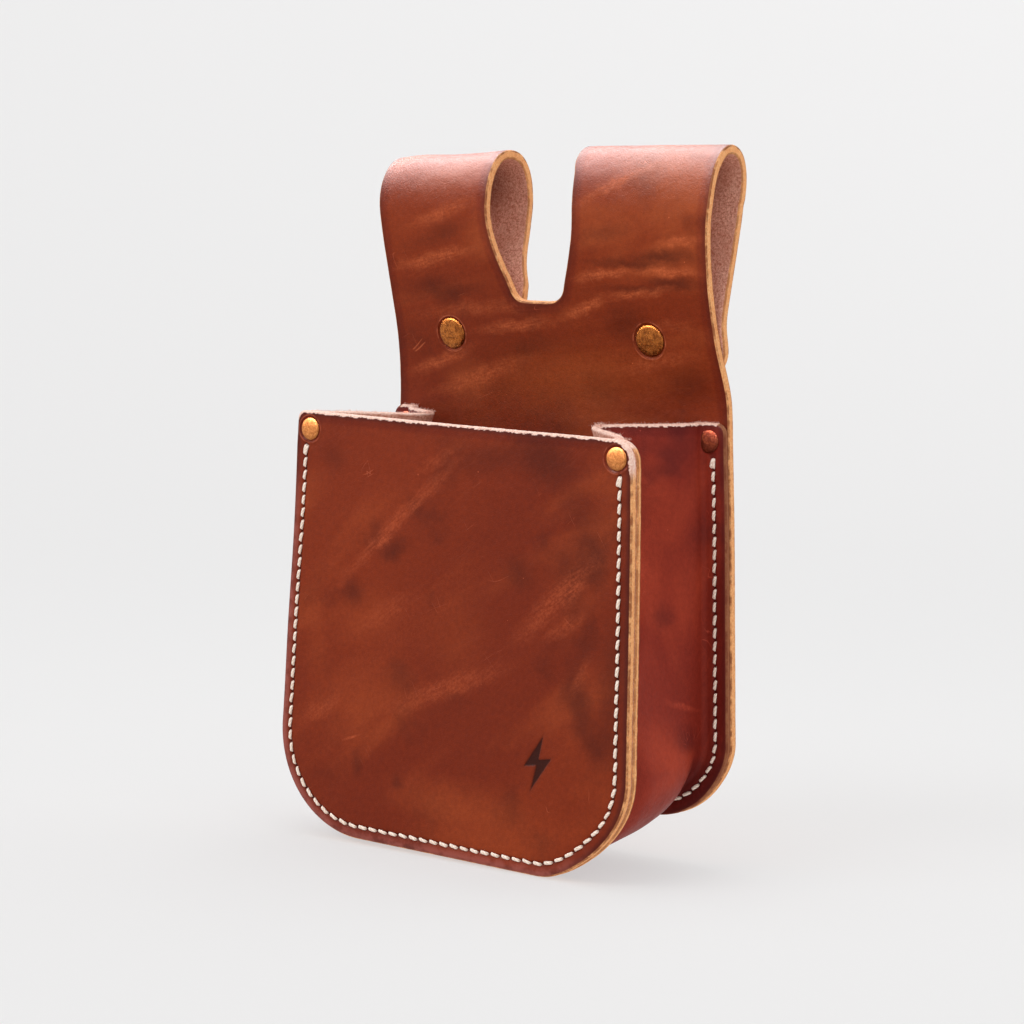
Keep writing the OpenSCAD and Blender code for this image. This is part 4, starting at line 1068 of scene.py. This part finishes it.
F_STREAKS = [(-62, -72, 5, -9, 4.5, 0.62), (-44, -56, -29, -43, 3.0, 0.80), (27, -85, 72, -42, 7.0, 0.62), (49, -65, 65, -52, 4.5, 0.70), (-35, -118, 32, -90, 6.5, 0.55), (-53, -132, -43, -128, 0.8, 0.95), (-76, -127, -53, -114, 5.0, 0.50), (-53, -90, -16, -66, 7.0, 0.35), (-23, -23, 6, -5, 4.0, 0.35), (43, -80, 66, -66, 5.0, 0.40), (59, -101, 67, -81, 4.0, 0.35)]
F_TONES = [(-30, -148, 40, -154, 16.0, 0.65), (-17, -150, 57, -155, 18.0, 0.55), (-62, -90, -26, -71, 16.0, 0.35), (-71, -124, -9, -105, 22.0, 0.42), (-22, -163, 64, -158, 26.0, 0.55), (-6, -69, 11, -99, 26.0, 0.25), (-68, -75, -66, -115, 10.0, 0.25)]
F_DARKS = [(78, -60, 76, -130, 9.0, 0.45), (56, -83, 69, -117, 9.0, 0.50), (65, -32, 71, -62, 6.0, 0.40), (-18, -19, 49, -5, 9.0, 0.40), (-57, -74, -44, -67, 8.0, 0.55), (-38, -56, -21, -47, 7.0, 0.55), (23, -51, 41, -59, 10.0, 0.45), (21, -3, 64, -17, 16.0, 0.60), (50, -14, 70, -47, 12.0, 0.35), (-49, -140, -41, -139, 8.0, 0.45), (-27, -145, -20, -144, 6.0, 0.40), (-14, -6, 21, -16, 12.0, 0.35), (68, -100, 74, -130, 9.0, 0.35), (-70, -14, -54, -21, 10.0, 0.30)]
B_STREAKS = [(16, 88, 56, 105, 4.0, 0.75), (54, 72, 79, 77, 3.0, 0.70), (12, 59, 46, 64, 3.2, 0.90), (41, 64, 78, 63, 3.2, 0.85), (4, 43, 32, 53, 4.0, 0.90), (26, 52, 63, 57, 3.0, 0.70), (-72, 79, -30, 92, 5.0, 0.50), (-81, 62, -30, 72, 4.5, 0.70), (-73, 43, 4, 51, 5.0, 0.40), (-41, 37, 6, 43, 4.0, 0.75), (-79, 17, -38, 32, 4.5, 0.70), (-68, 10, -8, 28, 5.5, 0.75), (24, 22, 72, 32, 5.0, 0.45), (45, 40, 73, 44, 4.0, 0.30)]
# lighter areas on the back panel: the three low down, just above the pocket's mouth, are painted light over the shade
# the front panel casts there; the two near height 100 lighten the loops' upper parts
B_TONES_AND_PAINTED_LIGHT = [(-40, 18, 60, 18, 24.0, 0.50), (-60, 14, -30, 20, 16.0, 0.45), (-74, 99, -22, 101, 12.0, 0.30), (23, 99, 75, 99, 14.0, 0.25), (-38, 17, 4, 22, 14.0, 0.30)]
B_DARKS = [(16, 66, 74, 67, 3.5, 0.60), (21, 55, 74, 58, 3.0, 0.55), (-61, 76, -37, 80, 7.0, 0.45), (-66, 51, -29, 56, 5.0, 0.50), (15, 75, 47, 81, 5.0, 0.35), (38, 68, 78, 70, 4.5, 0.75), (46, 59, 77, 59, 4.0, 0.70), (25, 42, 50, 44, 12.0, 0.45), (-77, 53, -39, 57, 8.0, 0.45), (-26, 29, 5, 35, 6.0, 0.30), (-75, 70, -32, 82, 5.0, 0.30), (48, 20, 81, 18, 12.0, 0.45), (10, 19, 33, 12, 12.0, 0.30)]
G_STREAKS = [(38, -102, 63, -112, 2.0, 0.55), (14, -21, 20, -25, 0.5, 1.00), (28, -47, 47, -56, 7.0, 0.35), (44, -13, 52, -25, 2.0, 0.30)]
G_TONES = [(18, -108, 54, -139, 16.0, 0.75), (25, -40, 48, -64, 14.0, 0.45), (19, -139, 53, -133, 12.0, 0.50)]
G_DARKS = [(41, -116, 64, -126, 8.0, 0.55), (22, 4, 43, -2, 9.0, 0.50), (30, -32, 39, -38, 8.0, 0.40), (41, -68, 50, -75, 8.0, 0.45), (9, -77, 16, -97, 8.0, 0.40)]
up_strap = lambda items: [(a, float(S_f(b)), c, float(S_f(d)), w_, k) for a, b, c, d, w_, k in items]
# the gusset's lists are (depth, height) on the right side; along the strip they count from both ends, so that both sides wear alike
on_side = lambda items: [(a + 3.0, g_(b), c + 3.0, g_(d), w_, k) for a, b, c, d, w_, k in items for g_ in (lambda z: -z, lambda z: G_LEN + z)]
G_LEN = 475.0
m_front = leather("leather_front", srgb(140, 50, 18), srgb(128, 43, 16), srgb(172, 74, 34), srgb(86, 28, 13), seed=1.0, streaks=0.35, gain=0.88, paint=(F_STREAKS, F_TONES, F_DARKS))
m_back = leather("leather_back", srgb(146, 56, 22), srgb(134, 48, 17), srgb(186, 90, 46), srgb(92, 32, 13), seed=2.0, streak_rot=(0, math.radians(14), 0), streaks=0.4, rim=0.35, gain=0.92,
                 # the strokes on the suede inside the loops' tops are painted shade
                 paint=tuple(up_strap(k) for k in (B_STREAKS, B_TONES_AND_PAINTED_LIGHT, B_DARKS)), loop_inside_painted_shade=[(-92, float(PR[-1].tail(102)), -30, float(PR[-1].tail(102)), 27.0, 0.96), (6, float(PR[1].tail(103)), 76, float(PR[1].tail(103)), 25.0, 0.96)])
m_gus = leather("leather_gusset", srgb(150, 50, 34), srgb(132, 41, 29), srgb(186, 70, 44), srgb(92, 30, 30), seed=3.0, streak_rot=(0, math.radians(70), 0), streaks=0.5, rim=0.4, gain=0.90,
                paint=tuple(on_side(k) for k in (G_STREAKS, G_TONES, G_DARKS)))
m_thread = thread_mat()
m_br1 = brass_mat("brass_bright", srgb(214, 142, 80), srgb(172, 100, 52), 1.0, 0.40, grit=0.25)
m_br2 = brass_mat("brass_dark", srgb(200, 120, 54), srgb(124, 66, 28), 2.0, 0.32, grit=0.45)
# back rivets, deep in the pocket's mouth: a dull dark reddish brown, darker and rougher than the other brass
m_br4 = brass_mat("brass_dark_reddish", srgb(140, 66, 42), srgb(92, 38, 26), 4.0, 0.50, grit=0.3)
m_br3 = brass_mat("brass_burr", srgb(162, 112, 60), srgb(108, 70, 36), 3.0, 0.40)

fl_line = seam_line(FT_W, FL_W, F_H, F_R, SEAM_Z0, INSET)
bk_line = seam_line(BT_W, BL_W, B_H, B_R, SEAM_Z0, INSET)
fl_holes = seam_holes(fl_line)
bk_holes = seam_holes(bk_line)

BOLT = np.array([[2.6, 12], [-7, -2.2], [-0.9, -1.2], [-3.4, -12], [7, 2.9], [0.7, 1.7]]) + [44.5, -127]


def bolt_mark(P):
    d = seg_dist(P, BOLT)
    ins = inside(P, ccw(BOLT))
    return 0.42 * np.where(ins, smooth(-0.05, 0.45, d), 0) + 0.06 * np.where(ins, 0, np.exp(-(d / 0.6) ** 2))


def place_front(u, v, off):
    return np.stack([u, F_T / 2 - off, v], 1)


front = sheet("front_panel_leather", topped(FT_W, FL_W, F_H, F_R, C_RIGHT, C_LEFT), F_T, place_front, [m_front], seams=[(fl_line, fl_holes)],
              dimples=[(-FX, FZ, 4.8, 0.55), (FX, FZ, 4.8, 0.55)], bores=[(-FX, FZ, 1.66), (FX, FZ, 1.66)], seed=11,
              replaces=["front_panel"], mark=bolt_mark, mark_box=(36.5, -140.5, 52.5, -113.5),
              # roll: where the margin rolls back; the same mask carries the painted pinkish reflection on it
              roll=lambda P: np.maximum(smooth(62.0, 80.0, -P[:, 0]) * smooth(10.0, 60.0, -P[:, 1]), smooth(128.0, 150.0, -P[:, 1]) * (1 - smooth(48.0, 76.0, P[:, 0]))),
              # raw: the front panel's top edge and upper right corner, where the pale edge colour is a painted
              # highlight
              raw=lambda P: np.maximum(smooth(5.0, 2.0, -P[:, 1]), smooth(76.0, 79.5, P[:, 0]) * smooth(17.0, 6.0, -P[:, 1])))

vfr = S_f(LC[1])
bk_v = np.stack([bk_line[:, 0], S_f(bk_line[:, 1] + RISE)], 1)
bh_v = np.stack([bk_holes[:, 0], S_f(bk_holes[:, 1] + RISE)], 1)
back = sheet("back_panel_leather", back_outline(), B_T, place_back, [m_back], flesh_seams=[(bk_v, bh_v)],
             dimples=[(x, float(vfr), 6.8, 0.6) for x in RIVET_X],
             r_edge=0.7, bores=[(x, float(vv), 1.66) for x, sg in zip(RIVET_X, (-1, 1)) for vv in (PR[sg].front(LC[1]), PR[sg].tail(TS[1]))] + [(s_ * BX, float(S_f(BZ)), 1.66) for s_ in (-1, 1)],
             creases=[(61.8, float(S_f(14.0)), 61.2, float(S_f(3.0)), 0.55, 0.5), (56.5, float(S_f(7.6)), 60.5, float(S_f(9.6)), 0.8, 0.25)],
             seed=31, replaces=["back_panel"])

# gusset: u runs across the strip from the front edge to the back edge, v along it from the left top to the right top
Y_MF, Y_MB = (YM0 + YM1) / 2, (YN0 + YN1) / 2
U1 = FLANGE - BEND; U2 = U1 + BEND * math.pi / 2; WEB = Y_MB - Y_MF - 2 * BEND; U3 = U2 + WEB; U4 = U3 + BEND * math.pi / 2; U5 = U4 + U1


def stations():
    def half(wt, wl, h, r, z0):
        zc, xc = -(h - r), wl - r
        k = math.atan2(wl - wt, h - r)
        n1, n2, n3 = 64, 48, 22
        s = np.linspace(0, 1, n1)
        a = np.stack([wt + (wl - wt) * s, zc * s + z0], 1); da = np.tile([-math.cos(k), 0.0], (n1, 1))
        an = np.linspace(0, np.pi / 2, n2 + 1)[1:]
        b = np.stack([xc + r * np.cos(an), zc - r * np.sin(an) + z0], 1); db = np.stack([-np.cos(an), np.sin(an)], 1)
        t = np.linspace(0, 1, n3 + 1)[1:]
        c = np.stack([xc * (1 - t), np.full(n3, -h + z0)], 1); dc = np.tile([0.0, 1.0], (n3, 1))
        return np.vstack([a, b, c]), np.vstack([da, db, dc])
    pf, df = half(FT_W, FL_W, F_H, F_R, 0)
    pb, db = half(BT_W, BL_W, B_H, B_R, RISE)
    ml = lambda p: p * np.array([-1, 1])
    P_f = np.vstack([ml(pf), pf[::-1][1:]]); D_f = np.vstack([ml(df), df[::-1][1:]])
    P_b = np.vstack([ml(pb), pb[::-1][1:]]); D_b = np.vstack([ml(db), db[::-1][1:]])
    for arr in (D_f, D_b):
        for _ in range(4):
            arr[1:-1] = 0.25 * arr[:-2] + 0.5 * arr[1:-1] + 0.25 * arr[2:]
    v = np.concatenate([[0], np.cumsum(np.hypot(*np.diff(P_f, axis=0).T))])
    return v, P_f, D_f, P_b, D_b


sv, sPf, sDf, sPb, sDb = stations()
V_END = sv[-1]


def bump_(t):
    """how the side folds inward: a crease at mid depth, rounded a little where real leather can't turn sharper"""
    a = np.abs(2 * t - 1)
    a = np.sqrt(a * a + 0.0025) - 0.05 * (1 - a)
    u = np.clip(1 - a, 0, 1)
    return (1 - np.power(1 - u, 1.25)) * 0.25 + 0.75 * u * u * (3 - 2 * u)


def gus_mid(u, fold):
    """(inset, y) of the strip's middle line"""
    q = np.empty_like(u); y = np.empty_like(u)
    m = u <= U1; q[m] = u[m]; y[m] = Y_MF
    m = (u > U1) & (u <= U2); a = (u[m] - U1) / BEND; q[m] = U1 + BEND * np.sin(a); y[m] = Y_MF + BEND - BEND * np.cos(a)
    m = (u > U2) & (u <= U3); t = (u[m] - U2) / WEB; q[m] = FLANGE + fold[m] * bump_(t); y[m] = Y_MF + BEND + WEB * t
    m = (u > U3) & (u <= U4); a = (u[m] - U3) / BEND; q[m] = U1 + BEND * np.cos(a); y[m] = Y_MB - BEND + BEND * np.sin(a)
    m = u > U4; q[m] = U1 - (u[m] - U4); y[m] = Y_MB
    return q, y


def place_gus(u, v, off):
    u = np.asarray(u, float); v = np.clip(np.asarray(v, float), 0, V_END)
    it = lambda arr: np.stack([np.interp(v, sv, arr[:, 0]), np.interp(v, sv, arr[:, 1])], 1)
    pf, df, pb, db = it(sPf), it(sDf), it(sPb), it(sDb)
    z = pf[:, 1]
    fold = FOLD * np.maximum(0, 1 + z / FADE) ** 1.5
    q, y = gus_mid(u, fold)
    e = 0.15
    q1, y1 = gus_mid(np.maximum(u - e, 0), fold); q2, y2 = gus_mid(np.minimum(u + e, U5), fold)
    dq, dy = q2 - q1, y2 - y1
    l = np.maximum(np.hypot(dq, dy), 1e-9)
    q = q - dy / l * off; y = y + dq / l * off
    # a fold can't be thinner than the leather: spread the offset round the crease
    t = np.clip((y - Y_MF) / (Y_MB - Y_MF), 0, 1)[:, None]
    p = (pf + df * q[:, None]) * (1 - t) + (pb + db * q[:, None]) * t
    return np.stack([p[:, 0], y, p[:, 1]], 1)


def gus_outline():
    cf, cb = 8.5, 4.0
    cl = C_LEFT
    an = np.radians(np.linspace(0, 90, 12))
    p = []
    p += [(cl * (1 - math.cos(a)), cl * (1 - math.sin(a))) for a in an]                 # left top, front corner: (0, cl) .. (cl, 0)
    p += [(U5 - cb * (1 - math.cos(a)), cb * (1 - math.sin(a))) for a in an[::-1]]      # (U5 - cb, 0) .. (U5, cb)
    p += [(U5 - cb * (1 - math.cos(a)), V_END - cb * (1 - math.sin(a))) for a in an]
    p += [(cf * (1 - math.cos(a)), V_END - cf * (1 - math.sin(a))) for a in an[::-1]]
    return ccw(np.array(p))


def v_of(line, which):
    """station along the strip for points on a seam line"""
    Pq, Dq = (sPf, sDf) if which == "f" else (sPb, sDb)
    vd = np.linspace(0, V_END, 4000)
    pt = np.stack([np.interp(vd, sv, Pq[:, 0]) + INSET * np.interp(vd, sv, Dq[:, 0]), np.interp(vd, sv, Pq[:, 1]) + INSET * np.interp(vd, sv, Dq[:, 1])], 1)
    return np.array([vd[int(np.argmin(((pt - q) ** 2).sum(1)))] for q in line])


gf = v_of(fl_holes, "f"); gb = v_of(bk_holes + [0, RISE], "b")
gf_l = np.stack([np.full(300, INSET), np.linspace(gf.min(), gf.max(), 300)], 1)
gb_l = np.stack([np.full(300, U5 - INSET), np.linspace(gb.min(), gb.max(), 300)], 1)
vline = lambda u, v0=0.0, v1=V_END: np.stack([np.full(200, u), np.linspace(v0, v1, 200)], 1)
UC = (U2 + U3) / 2
gus = sheet("gusset_leather", gus_outline(), G_T, place_gus, [m_gus], seams=[(gf_l, np.stack([np.full(len(gf), INSET), gf], 1)), (gb_l, np.stack([np.full(len(gb), U5 - INSET), gb], 1))],
            dense=[(vline((U1 + U2) / 2 + 0.3), (-3.3, -2.5, -1.7, -0.9, 0, 0.9, 1.7, 2.5, 3.3), 1.5), (vline((U3 + U4) / 2 - 0.3), (-3.3, -2.5, -1.7, -0.9, 0, 0.9, 1.7, 2.5, 3.3), 1.5),
                   (vline(UC, 1.0, 135.0), (-2.6, -1.9, -1.3, -0.8, -0.4, 0, 0.4, 0.8, 1.3, 1.9, 2.6), 1.2), (vline(UC, V_END - 135.0, V_END - 1.0), (-2.6, -1.9, -1.3, -0.8, -0.4, 0, 0.4, 0.8, 1.3, 1.9, 2.6), 1.2)],
            bores=[(RIV_IN, RIV_DROP, 1.66), (RIV_IN, V_END - RIV_DROP, 1.66), (U5 - RIV_IN, RIV_DROP, 1.66), (U5 - RIV_IN, V_END - RIV_DROP, 1.66)],
            raw=lambda P: np.where(P[:, 0] > U5 - 3.0, -1.0, np.maximum(smooth(4.0, 1.5, P[:, 1]), smooth(4.0, 1.5, V_END - P[:, 1]))), seed=51, replaces=["gusset"])

def fibres(name, mat, count=620):
    r = np.random.default_rng(77)
    V, F = [], []
    nb_ = 0
    for side_v in (0.0, V_END):
        for i in range(count):
            tip = i < count * 0.16
            u = UC + r.normal(0, 1.6) if tip else r.uniform(4.5, U5 - 3.0)
            v = side_v
            off = r.uniform(-1.35, 1.35)
            e_ = 0.5
            vi = e_ if side_v == 0 else V_END - e_
            a = place_gus(np.array([u]), np.array([v]), np.array([off]))[0]
            b = place_gus(np.array([u]), np.array([vi]), np.array([off]))[0]
            d = a - b; d /= max(1e-9, np.linalg.norm(d))
            L = r.uniform(0.35, 1.0) * (1.7 if tip else 1.0) * (1.5 if r.random() < 0.08 else 1.0)
            side = r.normal(0, 1, 3); side -= side.dot(d) * d; side /= np.linalg.norm(side)
            bend = r.uniform(0.2, 1.0)
            rad = r.uniform(0.035, 0.075)
            x1 = np.cross(d, side)
            k, m = 4, 4
            for j in range(m):
                t = j / (m - 1)
                c = a - d * 0.25 + d * (L * t + 0.25 * t) * (1 - 0.25 * bend * t) + side * L * bend * t * t
                rr = rad * (1 - 0.75 * t)
                for q in range(k):
                    an = q * math.pi / 2
                    V.append(c + rr * (math.cos(an) * side + math.sin(an) * x1))
            for j in range(m - 1):
                for q in range(k):
                    p0 = nb_ + j * k + q; p1 = nb_ + j * k + (q + 1) % k
                    F.append([p0, p1, p1 + k, p0 + k])
            F.append([nb_ + q for q in range(k)][::-1]); F.append([nb_ + (m - 1) * k + q for q in range(k)])
            nb_ += k * m
    ob = new_mesh(name, warp(np.array(V)), F, [mat])
    fix_normals(ob)
    return ob


NFb = Nodes("raw_fibre")
fcol = NFb.mix(NFb.rng(NFb.noise(NFb.coords(), 0.8, 3.0, 0.6), 0.3, 0.7), srgb(226, 168, 146), srgb(250, 212, 196))
NFb.link(fcol, NFb.b.inputs["Base Color"]); NFb.b.inputs["Roughness"].default_value = 0.8
fibres("gusset_raw_fibres", NFb.m)

stitch_row("front_face_thread", fl_line, 0.02, -1, m_thread, seed=1, replaces=["front_seam_face_stitches"])
stitch_row("front_inner_thread", fl_line, YM1 + 0.02, 1, m_thread, seed=2, replaces=["front_seam_inner_stitches"])
stitch_row("back_inner_thread", bk_line, YN0 - 0.02, -1, m_thread, z0=RISE, seed=3, replaces=["back_seam_inner_stitches"])
stitch_row("back_rear_thread", bk_line, YB1 - 0.02, 1, m_thread, z0=RISE, seed=4, replaces=["back_seam_rear_stitches"])

front_stack = YM1 - 0.6 + 0.02; back_stack = YB1 - YN0 + 0.02; loop_stack = B_T / 2 - 0.6 + 3.95 + B_T / 2
for s_, nm in ((-1, "left"), (1, "right")):
    o = np.array([s_ * FX, 0.58, FZ])
    lathe("front_rivet_%s_brass" % nm, rivet_profile(9.0, front_stack, 0.75), axis_frame(o, (0, 1, 0)), m_br1, seed=3 + s_, dent=0.05, replaces=["front_rivet_" + nm])
    lathe("front_burr_%s_brass" % nm, burr_profile(7.6), axis_frame(o + [0, front_stack, 0], (0, 1, 0)), m_br3, seed=13 + s_, replaces=["front_burr_" + nm], close_top=False, close_bottom=False)
    o = np.array([s_ * BX, YN0 - 0.02, BZ])
    lathe("back_rivet_%s_brass" % nm, rivet_profile(9.0, back_stack, 0.75), axis_frame(o, (0, 1, 0)), m_br4, seed=23 + s_, dent=0.05, replaces=["back_rivet_" + nm])
    lathe("back_burr_%s_brass" % nm, burr_profile(7.6), axis_frame(o + [0, back_stack, 0], (0, 1, 0)), m_br3, seed=33 + s_, replaces=["back_burr_" + nm], close_top=False, close_bottom=False)
ax = np.array([0, lnv[0], lnv[1]])
for x, nm in zip(RIVET_X, ("left", "right")):
    o = np.array([x, LC[0], LC[1]]) + ax * (-B_T / 2 + 0.58)
    lathe("loop_rivet_%s_brass" % nm, rivet_profile(13.0, loop_stack + 0.02, 0.75), axis_frame(o, ax), m_br2, seg=96, seed=43 + int(x > 0), dent=0.06, replaces=["loop_rivet_" + nm])
    lathe("loop_burr_%s_brass" % nm, burr_profile(10.5), axis_frame(o + ax * (loop_stack + 0.02), ax), m_br3, seed=53 + int(x > 0), replaces=["loop_burr_" + nm], close_top=False, close_bottom=False)

# ------------------------------------------------------------------ camera
az, el, roll, dist, fpx = 0.6362, 0.068, 0.038, 1099.62, 2744.98
bk = np.array([math.sin(az) * math.cos(el), -math.cos(az) * math.cos(el), math.sin(el)])
ri = np.cross([0, 0, 1], bk); ri /= np.linalg.norm(ri); up = np.cross(bk, ri)
r2 = math.cos(roll) * ri + math.sin(roll) * up; u2 = -math.sin(roll) * ri + math.cos(roll) * up
tgt = np.array([0, 30.0, -50.0]) + 5.12 * r2 + 15.116 * u2
pos = (tgt + dist * bk - ORG) * 0.001
cam_d = bpy.data.cameras.new("camera"); cam_d.sensor_width = 36.0; cam_d.sensor_height = 36.0; cam_d.lens = fpx * 36.0 / 1024.0
cam_d.clip_start = 0.05; cam_d.clip_end = 60.0
cam = bpy.data.objects.new("camera", cam_d)
M = Matrix(((r2[0], u2[0], bk[0], pos[0]), (r2[1], u2[1], bk[1], pos[1]), (r2[2], u2[2], bk[2], pos[2]), (0, 0, 0, 1)))
cam.matrix_world = M
scene.collection.objects.link(cam)
scene.camera = cam

# ------------------------------------------------------------------ stage: one pale surface, flat under the pouch and rising all round
floor_z = cad_lo[2] - 0.0008
prof_r = [0.0, 0.4, 0.9, 1.4, 1.8] + [1.8 + 3.2 * math.sin(a) for a in np.radians(np.linspace(5, 90, 18))]
prof_z = [0.0] * 5 + [3.2 * (1 - math.cos(a)) for a in np.radians(np.linspace(5, 90, 18))]
seg = 96
vs, fs = [(0, 0, floor_z)], []
for r_, z_ in zip(prof_r[1:], prof_z[1:]):
    for k in range(seg):
        a = 2 * math.pi * k / seg
        vs.append((r_ * math.cos(a), r_ * math.sin(a), floor_z + z_))
for k in range(seg):
    fs.append((0, 1 + k, 1 + (k + 1) % seg))
for i in range(len(prof_r) - 2):
    for k in range(seg):
        a = 1 + i * seg + k; b = 1 + i * seg + (k + 1) % seg
        fs.append((a, a + seg, b + seg, b))
me = bpy.data.meshes.new("floor"); me.from_pydata(vs, [], fs); me.polygons.foreach_set("use_smooth", np.ones(len(me.polygons), bool)); me.update()
floor = bpy.data.objects.new("floor", me); scene.collection.objects.link(floor)
NF = Nodes("floor_paper")
NF.b.inputs["Base Color"].default_value = (0.33, 0.328, 0.328, 1)
NF.b.inputs["Roughness"].default_value = 0.95
NF.b.inputs["Specular IOR Level"].default_value = 0.0
NF.b.inputs["Emission Color"].default_value = (1, 0.995, 0.995, 1)
NF.b.inputs["Emission Strength"].default_value = 0.523
me.materials.append(NF.m)

w = bpy.data.worlds.new("studio"); scene.world = w; w.use_nodes = True
w.node_tree.nodes["Background"].inputs[0].default_value = (1, 1, 1, 1)
w.node_tree.nodes["Background"].inputs[1].default_value = 0.62


def area(name, loc, target, size, power, size_y=None, color=(1, 1, 1)):
    d = bpy.data.lights.new(name, "AREA"); d.energy = power; d.size = size; d.color = color
    if size_y:
        d.shape = "RECTANGLE"; d.size_y = size_y
    o = bpy.data.objects.new(name, d); scene.collection.objects.link(o)
    o.location = loc
    o.rotation_euler = (Vector(target) - Vector(loc)).to_track_quat("-Z", "Y").to_euler()
    o.visible_camera = False
    return o


def sun(name, direction, strength, spread, color=(1, 1, 1)):
    """direction: where the light comes from"""
    d = bpy.data.lights.new(name, "SUN"); d.energy = strength; d.angle = math.radians(spread); d.color = color
    o = bpy.data.objects.new(name, d); scene.collection.objects.link(o)
    o.rotation_euler = Vector(direction).to_track_quat("Z", "Y").to_euler()
    return o


c0 = (0.0, -0.02, -0.03)
sun("key", (-0.40, -1.0, 0.62), 1.62, 42)
sun("fill", (1.2, -0.42, 0.30), 0.95, 60)
sun("rear", (0.2, 1.0, 0.8), 0.45, 60)
area("top", (-0.05, 0.02, 0.62), (0, -0.02, 0.0), 0.40, 1.3)
for nm_, at_, sz_, pw_ in (("sheen", (-0.75, 0.70, 0.80), 1.1, 9.0), ("sheen_over", (-0.40, -0.10, 1.0), 1.5, 185.0)):
    gl = area(nm_, at_, (-0.01, 0.0, 0.02), sz_, pw_)
    gl.visible_diffuse = False
scene.view_settings.view_transform = "Standard"
scene.view_settings.look = "None"
